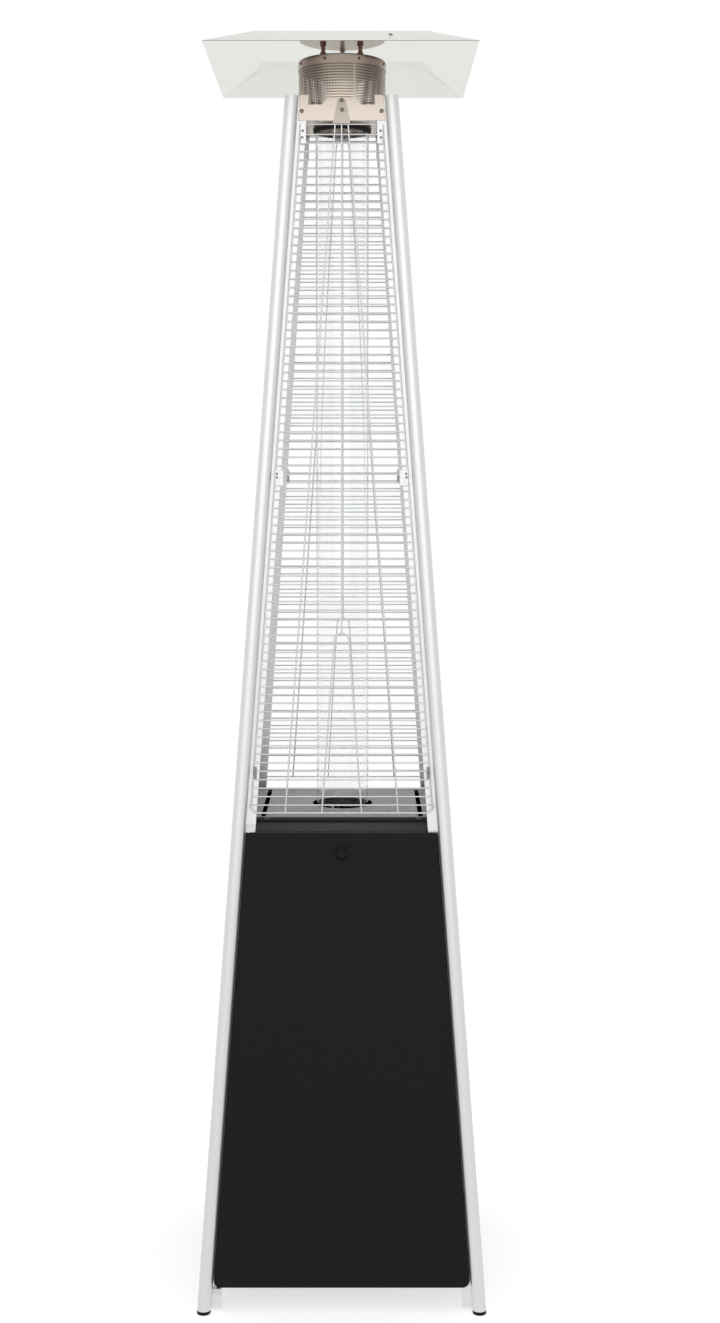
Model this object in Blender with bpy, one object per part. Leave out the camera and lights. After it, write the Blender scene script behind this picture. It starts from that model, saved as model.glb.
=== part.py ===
"""Gas patio heater: a pyramid frame of four leaning posts round a glass flame tube.

Metres, Z up, front towards -Y. The origin is on the floor, on the axis of the glass tube.
The four sides are alike, so a piece of one side is modelled at the front and turned a quarter.
"""
import math

import bmesh
import bpy
from mathutils import Matrix, Vector

# Clearance between pieces that touch, and how far a cutter runs past what it cuts
FIT = 0.0003
OVERRUN = 0.004

# Edges flatter than this turn are shaded smooth
SMOOTH_TURN = math.radians(40)
LID_SMOOTH_TURN = math.radians(30)

# Posts: a round tube with two flanges at right angles, leaning inwards on both axes
POST_HEIGHT = 2.1986
BASE_HALF_SPAN = 0.2500
TOP_HALF_SPAN = 0.0903
TUBE_RADIUS = 0.0125
TUBE_WALL = 0.0015
FLANGE_DEPTH = 0.0080
FLANGE_THICKNESS = 0.0020
FLANGE_REACH = 0.0303
TUBE_SIDES = 18

# Feet: a pad under each tube with a plug in its bore
FOOT_THICKNESS = 0.0030
FOOT_PLUG_HEIGHT = 0.0200
FOOT_BEVEL = 0.0008

# Cladding of the base: folded steel trays between the tubes
PANEL_BOTTOM = 0.0446
PANEL_HEIGHT = 0.8234
PANEL_SKIN = 0.0010
PANEL_TUBE_GAP = 0.0010
PANEL_CHAMFER = 0.0080
DOOR_RETURN = 0.0046

# Ventilation slots of the rear panel
VENT_WIDTH = 0.0900
VENT_HEIGHT = 0.0050
VENT_PITCH = 0.0140
VENT_ROWS = 5
VENT_BELOW_TOP = 0.1500

# Shelf for the gas bottle
SHELF_HEIGHT = 0.0600
SHELF_THICKNESS = 0.0012
SHELF_RIM = 0.0250
SHELF_RING_RADIUS = 0.1070
SHELF_RING_WIDTH = 0.0040
SHELF_RING_RISE = 0.0030

# Door pivots: an arm on the post's flange with a pin in the door's top and bottom returns
PIVOT_INSET = 0.0185
PIVOT_DEPTH = 0.0018
PIVOT_PIN_RADIUS = 0.0013
PIVOT_PIN_LENGTH = 0.0090
PIVOT_PIN_PLAY = 0.0003
PIVOT_ARM_WIDTH = 0.0140
PIVOT_ARM_GAP = 0.0012
PIVOT_ARM_THICKNESS = 0.0016
PIVOT_LEG_HEIGHT = 0.0130

# Magnetic catch of the door
CATCH_OFFSET = 0.1120
CATCH_WIDTH = 0.0240
CATCH_HEIGHT = 0.0120
CATCH_BELOW_TOP = 0.0110

# Burner box under the deck, with sloped shoulders at the front and the rear
BOX_HEIGHT = 0.0680
BOX_WALL = 0.0012
SHOULDER_RISE = 0.0132
DECK_HALF_DEPTH = 0.1360
DECK_HALF_WIDTH = 0.1700
DECK_RISE = 0.0055
DECK_SHEET = 0.0010
DECK_BORE_RADIUS = 0.0570
DECK_SLOT_OFFSET = 0.1450
DECK_SLOT_WIDTH = 0.0085
DECK_SLOT_LENGTH = 0.2600
BORE_SIDES = 32
ROD_SIDES = 12

# Glass flame tube, its seat under the deck and its two seals
GLASS_RADIUS = 0.0495
GLASS_WALL = 0.0024
SEAT_DROP = 0.0170
SEAT_SHEET = 0.0012
SEAT_LIP = 0.0150
SEAT_HOLE_RADIUS = 0.0220
SEAL_THICKNESS = 0.0040
SEAL_OVERLAP = 0.0014
SEAL_COLLAR_HEIGHT = 0.0050
SEAL_COLLAR_WALL = 0.0040
SEAL_LIP_THICKNESS = 0.0025

# Burner, mixing tube and gas pipe on the axis
BURNER_RADIUS = 0.0360
BURNER_HEIGHT = 0.0220
BURNER_WALL = 0.0020
BURNER_PORT_RADIUS = 0.0026
BURNER_PORT_RING = 0.0240
BURNER_PORTS = 8
BURNER_PORT_SIDES = 8
NECK_RADIUS = 0.0140
NECK_LENGTH = 0.0180
MIXER_RADIUS = 0.0130
MIXER_WALL = 0.0012
MIXER_LENGTH = 0.0700
MIXER_WINDOW_HEIGHT = 0.0160
MIXER_WINDOW_WIDTH = 0.0080
PIPE_RADIUS = 0.0035
PIPE_BEND = 0.0180
PIPE_SIDES = 8
JET_RADIUS = 0.0080
JET_HEIGHT = 0.0120

# Pilot light, spark pin and flame sensor beside the burner
PILOT_RING = 0.0415
PILOT_RADIUS = 0.0034
PILOT_HEIGHT = 0.0300
SPARK_RADIUS = 0.0022
SPARK_HEIGHT = 0.0260
SENSOR_RADIUS = 0.0027
SENSOR_HEIGHT = 0.0280
PILOT_SPREAD_ANGLE = math.radians(26)

# Gas valve behind the front of the box, its spindle and its knob
KNOB_BELOW_TOP = 0.0345
KNOB_RADIUS = 0.0115
KNOB_LENGTH = 0.0160
KNOB_GRIP_RADIUS = 0.0104
KNOB_BEVEL = 0.0012
KNOB_SIDES = 24
KNOB_HOLE_PLAY = 0.0030
KNOB_SOCKET_DEPTH = 0.0055
KNOB_POINTER_WIDTH = 0.0030
KNOB_POINTER_RISE = 0.0012
KNOB_POINTER_START = 0.0035
SPINDLE_RADIUS = 0.0040
SPINDLE_PLAY = 0.0004
SPINDLE_TRAVEL = 0.0040
SPINDLE_SEAT = 0.0040
SPINDLE_SIDES = 16
VALVE_LENGTH = 0.0460
VALVE_WIDTH = 0.0360
VALVE_HEIGHT = 0.0320
INLET_RADIUS = 0.0065
INLET_LENGTH = 0.0240
INLET_NUT_RADIUS = 0.0095
INLET_NUT_LENGTH = 0.0090

# Tilt switch on the wall of the box
TILT_WIDTH = 0.0240
TILT_HEIGHT = 0.0180
TILT_LENGTH = 0.0300

# Wire guards: a lower and an upper half on each side
GUARD_ABOVE_DECK = 0.0168
GUARD_FIRST_ROW = 0.0136
GUARD_ROW_PITCH = 0.01536
GUARD_LOWER_SHARE = 0.4875
GUARD_WIRE = 0.0030
GUARD_EDGE = 0.0183
GUARD_TOP_GAP = 0.0070
GUARD_CORNER_RADIUS = 0.0140
RAIL_POINT_ROWS = 8
HAIRPIN_BEND_RADIUS = 0.0118
SMALL_HAIRPIN_BEND_RADIUS = 0.0134
SMALL_HAIRPIN_RISE = 0.3115
HAIRPIN_SIDES = 4
BEND_POINTS = 6

# Top frame: a square tray screwed to the posts, with a tongue on each wall for the hook plate
FRAME_DROP = 0.0426
FRAME_SHEET = 0.0010
FRAME_BORE_RADIUS = 0.0550
FRAME_WALL_RISE = 0.0285
FRAME_TAB_RISE = 0.0460
FRAME_TAB_OUTER = 0.0146
TONGUE_RISE = 0.0125
TONGUE_BASE_HALF_WIDTH = 0.0360
TONGUE_TOP_HALF_WIDTH = 0.0250

# Hook plate: a stepped trapezoid that holds the hairpin's bend
HOOK_SHEET = 0.0010
HOOK_BOTTOM_HALF_WIDTH = 0.0160
HOOK_TOP_HALF_WIDTH = 0.0055
HOOK_FACE_HEIGHT = 0.0150
HOOK_STEP_HEIGHT = 0.0050
HOOK_BACK_HEIGHT = 0.0260

# Emitter: a slotted steel drum with a lid
EMITTER_RADIUS = 0.0805
EMITTER_SHEET = 0.0010
EMITTER_HEIGHT = 0.1192
EMITTER_SLOT_COLUMNS = 22
EMITTER_SLOT_ROWS = 3
EMITTER_FOOT_BAND = 0.0160
EMITTER_TOP_BAND = 0.0240
EMITTER_WEB = 0.0090
LID_CLEARANCE = 0.0003
LID_SHEET = 0.0012
LID_SKIRT = 0.0140
LID_SHOULDER = 0.0045
LID_SIDES = 32

# Standoff studs between the lid and the reflector
STUD_RADIUS = 0.0030
STUD_COLLAR_RADIUS = 0.0055
STUD_COLLAR_HEIGHT = 0.0030
STUD_RING = 0.0720
STUD_GAP = 0.0197
STUD_ANGLES = {"left": math.radians(-118), "right": math.radians(-62), "rear": math.radians(90)}

# Reflector: a folded square sheet with a flat middle and four slopes
REFLECTOR_HALF_WIDTH = 0.2390
REFLECTOR_FLAT_HALF_WIDTH = 0.1550
REFLECTOR_SLOPE_DROP = 0.0360
REFLECTOR_SHEET = 0.0010

# Heights and slopes that follow from the sizes above
LEAN = (BASE_HALF_SPAN - TOP_HALF_SPAN) / POST_HEIGHT
TILT = math.atan(LEAN)
PANEL_TOP = PANEL_BOTTOM + PANEL_HEIGHT
PANEL_EDGE = TUBE_RADIUS + PANEL_TUBE_GAP
PANEL_RETURN = FLANGE_DEPTH - FIT
INNER_DEPTH = FLANGE_DEPTH + FLANGE_THICKNESS + FIT
BOX_BOTTOM = PANEL_TOP - BOX_HEIGHT
BOX_TOP = PANEL_TOP + SHOULDER_RISE
DECK_TOP = BOX_TOP + DECK_RISE
SEAT_FLOOR = BOX_TOP - BOX_WALL - SEAT_DROP
GLASS_BOTTOM = SEAT_FLOOR + FIT + SEAL_THICKNESS + FIT
GUARD_BOTTOM = DECK_TOP + GUARD_ABOVE_DECK
GUARD_ROW_START = GUARD_BOTTOM + GUARD_FIRST_ROW
FRAME_BOTTOM = POST_HEIGHT - FRAME_DROP
GUARD_TOP = FRAME_BOTTOM - GUARD_TOP_GAP
GLASS_TOP = FRAME_BOTTOM - FIT - SEAL_LIP_THICKNESS - FIT
ROW_DEPTH = FLANGE_DEPTH - FIT - GUARD_WIRE / 2
HAIRPIN_DEPTH = ROW_DEPTH - GUARD_WIRE - FIT
FRAME_WALL_DEPTH = FLANGE_DEPTH - FIT - FRAME_SHEET
EMITTER_BOTTOM = FRAME_BOTTOM + FRAME_SHEET + FIT
EMITTER_TOP = EMITTER_BOTTOM + EMITTER_HEIGHT
LID_TOP = EMITTER_TOP + FIT + LID_SHEET
REFLECTOR_UNDERSIDE = LID_TOP + STUD_GAP
KNOB_HEIGHT = PANEL_TOP - KNOB_BELOW_TOP

# Finishes: sRGB colour, metallic value, roughness
FINISHES = {
    "anodised_aluminium": ("C9CACB", 1.0, 0.34),
    "black_powder_coat": ("232122", 0.0, 0.42),
    "galvanised_steel": ("8F9092", 0.8, 0.45),
    "bright_wire": ("D9DADB", 1.0, 0.22),
    "stainless_steel": ("CFC9C1", 1.0, 0.30),
    "tempered_stainless_steel": ("9A8B7C", 1.0, 0.38),
    "mirror_aluminium": ("E4E4E2", 1.0, 0.12),
    "quartz_glass": ("F1F5F3", 0.0, 0.04),
    "silicone_rubber": ("2B2A2A", 0.0, 0.70),
    "black_plastic": ("161617", 0.0, 0.38),
    "brass": ("B89A57", 1.0, 0.32),
    "ceramic": ("E8E4DA", 0.0, 0.40),
    "cast_burner_steel": ("4A4744", 0.6, 0.55),
}


def linear_channel(value):
    """One sRGB channel, 0 to 1, turned to linear light."""
    return value / 12.92 if value <= 0.04045 else ((value + 0.055) / 1.055) ** 2.4


def make_finish(name):
    """The named finish as a Principled material."""
    if name in bpy.data.materials:
        return bpy.data.materials[name]
    hex_colour, metallic, roughness = FINISHES[name]
    channels = [int(hex_colour[i:i + 2], 16) / 255 for i in (0, 2, 4)]
    material = bpy.data.materials.new(name)
    material.use_nodes = True
    shader = material.node_tree.nodes["Principled BSDF"]
    shader.inputs["Base Color"].default_value = [linear_channel(c) for c in channels] + [1.0]
    shader.inputs["Metallic"].default_value = metallic
    shader.inputs["Roughness"].default_value = roughness
    if name == "quartz_glass":
        shader.inputs["Transmission Weight"].default_value = 1.0
    return material


def half_span(height):
    """Distance of the posts' centrelines from the axis along X, and along Y, at a height."""
    return BASE_HALF_SPAN - LEAN * height


def on_face(x, depth, height):
    """A point of the front side: x across it, depth inwards from the plane of the post centrelines."""
    return Vector((x, depth - half_span(height), height))


def loft(loops, wrap=False):
    """Vertices and faces of a body through loops of equal length, with capped ends unless it wraps."""
    count = len(loops[0])
    points = [point for loop in loops for point in loop]
    faces = []
    spans = len(loops) if wrap else len(loops) - 1
    for i in range(spans):
        low = i * count
        high = (i + 1) % len(loops) * count
        for j in range(count):
            k = (j + 1) % count
            faces.append((low + j, low + k, high + k, high + j))
    if not wrap:
        faces.append(tuple(range(count)))
        faces.append(tuple(range((len(loops) - 1) * count, len(loops) * count)))
    return points, faces


def circle(radius, height, sides=BORE_SIDES, centre=(0, 0)):
    """A level ring of points round a centre."""
    turns = [math.tau * i / sides for i in range(sides)]
    x, y = centre
    return [Vector((x + radius * math.cos(t), y + radius * math.sin(t), height)) for t in turns]


def turned_body(profile, sides=BORE_SIDES, centre=(0, 0)):
    """A closed profile of (radius, height) pairs turned into a ring."""
    return loft([circle(radius, height, sides, centre) for radius, height in profile], wrap=True)


def turned_plug(profile, sides=BORE_SIDES, centre=(0, 0)):
    """An open profile of (radius, height) pairs turned into a solid with flat ends."""
    return loft([circle(radius, height, sides, centre) for radius, height in profile])


def block(low, high):
    """A box between two corners."""
    levels = []
    for z in (low[2], high[2]):
        corners = ((low[0], low[1]), (high[0], low[1]), (high[0], high[1]), (low[0], high[1]))
        levels.append([Vector((x, y, z)) for x, y in corners])
    return loft(levels)


def make_piece(name, body, finish, quarter=0, origin=(0, 0, 0)):
    """One named object with outward faces, its origin where the piece turns or rests."""
    points, faces = body
    mesh = bpy.data.meshes.new(name)
    shift = Vector(origin)
    mesh.from_pydata([Vector(point) - shift for point in points], [], faces)
    work = bmesh.new()
    work.from_mesh(mesh)
    bmesh.ops.recalc_face_normals(work, faces=work.faces)
    work.to_mesh(mesh)
    work.free()
    piece = bpy.data.objects.new(name, mesh)
    piece.location = shift
    piece.rotation_euler = (0, 0, quarter * math.pi / 2)
    bpy.context.scene.collection.objects.link(piece)
    mesh.materials.append(make_finish(finish))
    return piece


def copy_piece(piece, name, quarter):
    """The same piece on another side of the heater."""
    copy = piece.copy()
    copy.name = name
    copy.rotation_euler = (0, 0, quarter * math.pi / 2)
    bpy.context.scene.collection.objects.link(copy)
    return copy


def combine(piece, tool_body, operation):
    """Joins a tool body to a piece, or cuts it away, and keeps the piece's own finish."""
    finish = piece.data.materials[0]
    tool = make_piece("tool", tool_body, finish.name)
    change = piece.modifiers.new("combine", "BOOLEAN")
    change.operation = operation
    change.solver = "EXACT"
    change.object = tool
    bpy.context.view_layer.update()
    result = bpy.data.meshes.new_from_object(piece.evaluated_get(bpy.context.evaluated_depsgraph_get()))
    piece.modifiers.clear()
    piece.data = result
    result.materials.clear()
    result.materials.append(finish)
    bpy.data.objects.remove(tool)
    return piece


def smooth_sides(piece, limit=SMOOTH_TURN):
    """Smooth shading that keeps the edges sharper than the limit."""
    piece.data.shade_smooth()
    piece.data.set_sharp_from_angle(angle=limit)


def post_section():
    """Outline of a post about its centreline: x and y point inwards along the two sides."""
    inner = FLANGE_DEPTH
    outer = FLANGE_DEPTH + FLANGE_THICKNESS
    meet = math.sqrt(TUBE_RADIUS ** 2 - outer ** 2)
    start = math.atan2(outer, meet)
    sweep = math.tau - (start - math.atan2(meet, outer))
    arc = [start + sweep * i / TUBE_SIDES for i in range(TUBE_SIDES + 1)]
    points = [(TUBE_RADIUS * math.cos(t), TUBE_RADIUS * math.sin(t)) for t in arc]
    points += [(outer, inner), (FLANGE_REACH, inner), (FLANGE_REACH, outer), (outer, outer)]
    points += [(outer, FLANGE_REACH), (inner, FLANGE_REACH), (inner, outer)]
    return points


def along_post(section, height):
    """A post section placed on the front left centreline at a height."""
    span = half_span(height)
    return [Vector((x - span, y - span, height)) for x, y in section]


def make_posts_and_feet():
    """Four hollow posts, alike, each on a foot whose plug fills the end of its bore."""
    names = ("front_left", "front_right", "rear_right", "rear_left")
    post_bottom = FOOT_THICKNESS + FIT
    bore_radius = TUBE_RADIUS - TUBE_WALL
    angles = [math.tau * i / TUBE_SIDES for i in range(TUBE_SIDES)]
    bore = [(bore_radius * math.cos(t), bore_radius * math.sin(t)) for t in angles]
    section = post_section()
    post = make_piece("post_" + names[0],
                      loft([along_post(section, post_bottom), along_post(section, POST_HEIGHT)]),
                      "anodised_aluminium")
    bore_loops = [along_post(bore, post_bottom - OVERRUN), along_post(bore, POST_HEIGHT + OVERRUN)]
    combine(post, loft(bore_loops), "DIFFERENCE")
    smooth_sides(post)
    rings = ((TUBE_RADIUS - FOOT_BEVEL, 0), (TUBE_RADIUS, FOOT_BEVEL), (TUBE_RADIUS, FOOT_THICKNESS),
             (bore_radius - FIT, FOOT_THICKNESS), (bore_radius - FIT, FOOT_THICKNESS + FOOT_PLUG_HEIGHT))
    loops = []
    for radius, height in rings:
        loops.append(along_post([(radius * math.cos(t), radius * math.sin(t)) for t in angles], height))
    foot = make_piece("foot_" + names[0], loft(loops), "black_plastic")
    smooth_sides(foot)
    for quarter, name in enumerate(names[1:], start=1):
        copy_piece(post, "post_" + name, quarter)
        copy_piece(foot, "foot_" + name, quarter)


def panel_outline(inset, depth):
    """The panel's six corners at a depth: narrower towards the top, with cut bottom corners."""
    bottom = PANEL_BOTTOM + inset
    top = PANEL_TOP - inset
    cut = bottom + PANEL_CHAMFER

    def edge(height):
        return half_span(height) - PANEL_EDGE - inset

    corners = ((-edge(top), top), (-edge(cut), cut), (PANEL_CHAMFER - edge(bottom), bottom),
               (edge(bottom) - PANEL_CHAMFER, bottom), (edge(cut), cut), (edge(top), top))
    return [on_face(x, depth, height) for x, height in corners]


def panel_body(return_depth):
    """A folded tray: skin in front, returns at its four edges and bare behind."""
    return loft([panel_outline(0, -PANEL_SKIN), panel_outline(0, return_depth),
                 panel_outline(PANEL_SKIN, return_depth), panel_outline(PANEL_SKIN, 0)])


def axis_matrix():
    """Frame of the knob: origin on the back of the door's skin, local Y outwards along the knob's axis."""
    outwards = Vector((0, -math.cos(TILT), math.sin(TILT)))
    across = Vector((1, 0, 0))
    upwards = across.cross(outwards)
    matrix = Matrix((across, outwards, upwards)).transposed().to_4x4()
    matrix.translation = on_face(0, 0, KNOB_HEIGHT)
    return matrix


def along_knob_axis(rings, sides=TUBE_SIDES):
    """A solid turned about the knob's axis from (radius, distance outwards) pairs."""
    matrix = axis_matrix()
    loops = []
    for radius, reach in rings:
        turns = [math.tau * i / sides for i in range(sides)]
        loops.append([matrix @ Vector((radius * math.cos(t), reach, radius * math.sin(t))) for t in turns])
    return loft(loops)


def knob_frame_block(low, high):
    """A box in the knob's frame."""
    matrix = axis_matrix()
    points, faces = block(low, high)
    return [matrix @ point for point in points], faces


def pivot_point(height):
    """A point of the door's slanted pivot axis, beside the front left post."""
    return on_face(PIVOT_INSET - half_span(height), PIVOT_DEPTH, height)


def pivot_rod(radius, low, high):
    """A rod along the door's pivot axis between two heights."""
    loops = []
    for height in (low, high):
        centre = pivot_point(height)
        loops.append(circle(radius, height, ROD_SIDES, (centre.x, centre.y)))
    return loft(loops)


def make_panels():
    """The door, two side panels and the rear panel with its ventilation slots."""
    side = make_piece("side_panel_right", panel_body(PANEL_RETURN), "black_powder_coat", quarter=1)
    copy_piece(side, "side_panel_left", 3)
    rear = make_piece("rear_panel", panel_body(PANEL_RETURN), "black_powder_coat")
    for row in range(VENT_ROWS):
        low = PANEL_TOP - VENT_BELOW_TOP - row * VENT_PITCH
        loops = []
        for height in (low, low + VENT_HEIGHT):
            corners = ((-1, -1), (1, -1), (1, 1), (-1, 1))
            loops.append([on_face(VENT_WIDTH / 2 * x, OVERRUN * y, height) for x, y in corners])
        combine(rear, loft(loops), "DIFFERENCE")
    rear.rotation_euler = (0, 0, math.pi)

    door = make_piece("front_panel", panel_body(DOOR_RETURN), "black_powder_coat")
    hole_radius = KNOB_RADIUS + KNOB_HOLE_PLAY
    combine(door, along_knob_axis(((hole_radius, -OVERRUN), (hole_radius, OVERRUN))), "DIFFERENCE")
    pin_hole = PIVOT_PIN_RADIUS + PIVOT_PIN_PLAY
    for low, high in ((PANEL_TOP - OVERRUN, PANEL_TOP + OVERRUN),
                      (PANEL_BOTTOM - OVERRUN, PANEL_BOTTOM + PANEL_CHAMFER + OVERRUN)):
        combine(door, pivot_rod(pin_hole, low, high), "DIFFERENCE")
    pivot = pivot_point(PANEL_BOTTOM)
    door.data.transform(Matrix.Translation(-pivot))
    door.location = pivot


def pivot_arm(name, door_edge, direction):
    """One door pivot: a leg on the flange, an arm past the door's end and a pin into its return."""
    arm_start = door_edge + direction * PIVOT_ARM_GAP
    arm_end = arm_start + direction * PIVOT_ARM_THICKNESS
    leg_end = arm_start + direction * PIVOT_LEG_HEIGHT
    depth = PIVOT_DEPTH - PIVOT_PIN_RADIUS - PANEL_SKIN
    leg_front = FLANGE_DEPTH - FIT - PIVOT_ARM_THICKNESS
    outline = ((depth, arm_start), (FLANGE_DEPTH - FIT, arm_start), (FLANGE_DEPTH - FIT, leg_end),
               (leg_front, leg_end), (leg_front, arm_end), (depth, arm_end))
    loops = []
    for inset in (PANEL_EDGE, PANEL_EDGE + PIVOT_ARM_WIDTH):
        loops.append([on_face(inset - half_span(z), point_depth, z) for point_depth, z in outline])
    arm = make_piece(name, loft(loops), "stainless_steel")
    pin_end = door_edge - direction * PIVOT_PIN_LENGTH
    low, high = sorted((pin_end, (arm_start + arm_end) / 2))
    return combine(arm, pivot_rod(PIVOT_PIN_RADIUS, low, high), "UNION")


def make_door_fittings():
    """The two pivots at the left edge and the magnetic catch at the right."""
    pivot_arm("door_pivot_upper", PANEL_TOP, 1)
    pivot_arm("door_pivot_lower", PANEL_BOTTOM, -1)
    low = PANEL_TOP - CATCH_BELOW_TOP - CATCH_HEIGHT
    loops = []
    for height in (low, low + CATCH_HEIGHT):
        corners = ((CATCH_OFFSET - CATCH_WIDTH / 2, FIT), (CATCH_OFFSET + CATCH_WIDTH / 2, FIT),
                   (CATCH_OFFSET + CATCH_WIDTH / 2, INNER_DEPTH - FIT),
                   (CATCH_OFFSET - CATCH_WIDTH / 2, INNER_DEPTH - FIT))
        loops.append([on_face(x, depth, height) for x, depth in corners])
    make_piece("door_catch", loft(loops), "black_plastic")


def square_loop(depth, height):
    """The four corners of a level square whose sides lie at one depth inside the post planes."""
    half = half_span(height) - depth
    return [Vector((x * half, y * half, height)) for x, y in ((-1, -1), (1, -1), (1, 1), (-1, 1))]


def make_shelf():
    """The shelf: a square tray between the flanges with a ring that centres the gas bottle."""
    floor = SHELF_HEIGHT + SHELF_THICKNESS
    rim = SHELF_HEIGHT + SHELF_RIM
    inside = INNER_DEPTH + SHELF_THICKNESS
    tray = loft([square_loop(INNER_DEPTH, SHELF_HEIGHT), square_loop(INNER_DEPTH, rim),
                 square_loop(inside, rim), square_loop(inside, floor)])
    shelf = make_piece("bottle_shelf", tray, "galvanised_steel")
    outer = SHELF_RING_RADIUS + SHELF_RING_WIDTH
    foot = floor - SHELF_THICKNESS / 2
    top = floor + SHELF_RING_RISE
    ring = turned_body(((SHELF_RING_RADIUS, foot), (outer, foot), (outer, top), (SHELF_RING_RADIUS, top)))
    combine(shelf, ring, "UNION")


def box_loops(inset, bottom):
    """Level loops of the burner box, from its open bottom to its flat top."""
    depth = INNER_DEPTH + inset
    loops = [square_loop(depth, bottom), square_loop(depth, PANEL_TOP - inset * math.tan(math.pi / 8))]
    top = BOX_TOP - inset
    half_width = half_span(top) - depth
    corners = ((-1, -1), (1, -1), (1, 1), (-1, 1))
    loops.append([Vector((x * half_width, y * DECK_HALF_DEPTH, top)) for x, y in corners])
    return loops


def make_burner_box():
    """The black box under the deck: open below, with a bore for the tube and a hole for the spindle."""
    box = make_piece("burner_box", loft(box_loops(0, BOX_BOTTOM)), "black_powder_coat")
    combine(box, loft(box_loops(BOX_WALL, BOX_BOTTOM - OVERRUN)), "DIFFERENCE")
    bore_ends = (BOX_TOP - BOX_WALL - OVERRUN, BOX_TOP + OVERRUN)
    bore = turned_plug([(DECK_BORE_RADIUS, height) for height in bore_ends])
    combine(box, bore, "DIFFERENCE")
    hole = SPINDLE_RADIUS + SPINDLE_PLAY
    wall = (INNER_DEPTH + BOX_WALL / 2) * math.cos(TILT)
    combine(box, along_knob_axis(((hole, -wall - OVERRUN), (hole, -wall + OVERRUN))), "DIFFERENCE")


def make_deck():
    """The raised steel deck: turned-down edges, the tube's bore and two long slots."""
    def level(inset, height):
        half_x = DECK_HALF_WIDTH - inset
        half_y = DECK_HALF_DEPTH - inset
        return [Vector((x * half_x, y * half_y, height)) for x, y in ((-1, -1), (1, -1), (1, 1), (-1, 1))]

    bottom = BOX_TOP + FIT
    plate = loft([level(0, DECK_TOP), level(0, bottom), level(DECK_SHEET, bottom),
                  level(DECK_SHEET, DECK_TOP - DECK_SHEET)])
    deck = make_piece("burner_deck", plate, "galvanised_steel")
    bore = turned_plug(((DECK_BORE_RADIUS, DECK_TOP - OVERRUN), (DECK_BORE_RADIUS, DECK_TOP + OVERRUN)))
    combine(deck, bore, "DIFFERENCE")
    for side in (-1, 1):
        middle = side * DECK_SLOT_OFFSET
        slot = block((middle - DECK_SLOT_WIDTH / 2, -DECK_SLOT_LENGTH / 2, DECK_TOP - OVERRUN),
                     (middle + DECK_SLOT_WIDTH / 2, DECK_SLOT_LENGTH / 2, DECK_TOP + OVERRUN))
        combine(deck, slot, "DIFFERENCE")


def make_flame_tube():
    """The glass tube, the cup it stands in, the flat seal below it and the collar seal above it."""
    under_box = BOX_TOP - BOX_WALL - FIT
    wall = DECK_BORE_RADIUS - SEAT_SHEET
    rim = DECK_BORE_RADIUS + SEAT_LIP
    under_floor = SEAT_FLOOR - SEAT_SHEET
    seat = turned_body(((SEAT_HOLE_RADIUS, under_floor), (DECK_BORE_RADIUS, under_floor),
                        (DECK_BORE_RADIUS, under_box - SEAT_SHEET), (rim, under_box - SEAT_SHEET),
                        (rim, under_box), (wall, under_box), (wall, SEAT_FLOOR),
                        (SEAT_HOLE_RADIUS, SEAT_FLOOR)))
    smooth_sides(make_piece("tube_seat", seat, "stainless_steel"))
    glass_inner = GLASS_RADIUS - GLASS_WALL
    seal_bottom = SEAT_FLOOR + FIT
    seal_top = seal_bottom + SEAL_THICKNESS
    seal = turned_body(((glass_inner - FIT, seal_bottom), (wall - FIT, seal_bottom),
                        (wall - FIT, seal_top), (glass_inner - FIT, seal_top)))
    smooth_sides(make_piece("tube_seal_lower", seal, "silicone_rubber"))
    glass = turned_body(((glass_inner, GLASS_BOTTOM), (GLASS_RADIUS, GLASS_BOTTOM),
                         (GLASS_RADIUS, GLASS_TOP), (glass_inner, GLASS_TOP)))
    smooth_sides(make_piece("glass_tube", glass, "quartz_glass"))
    lip_bottom = GLASS_TOP + FIT
    lip_top = FRAME_BOTTOM - FIT
    collar_inner = GLASS_RADIUS + FIT
    collar_outer = collar_inner + SEAL_COLLAR_WALL
    collar = turned_body(((collar_inner, lip_bottom - SEAL_COLLAR_HEIGHT),
                          (collar_outer, lip_bottom - SEAL_COLLAR_HEIGHT), (collar_outer, lip_top),
                          (glass_inner - SEAL_OVERLAP, lip_top), (glass_inner - SEAL_OVERLAP, lip_bottom),
                          (collar_inner, lip_bottom)))
    smooth_sides(make_piece("tube_seal_upper", collar, "silicone_rubber"))


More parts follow.
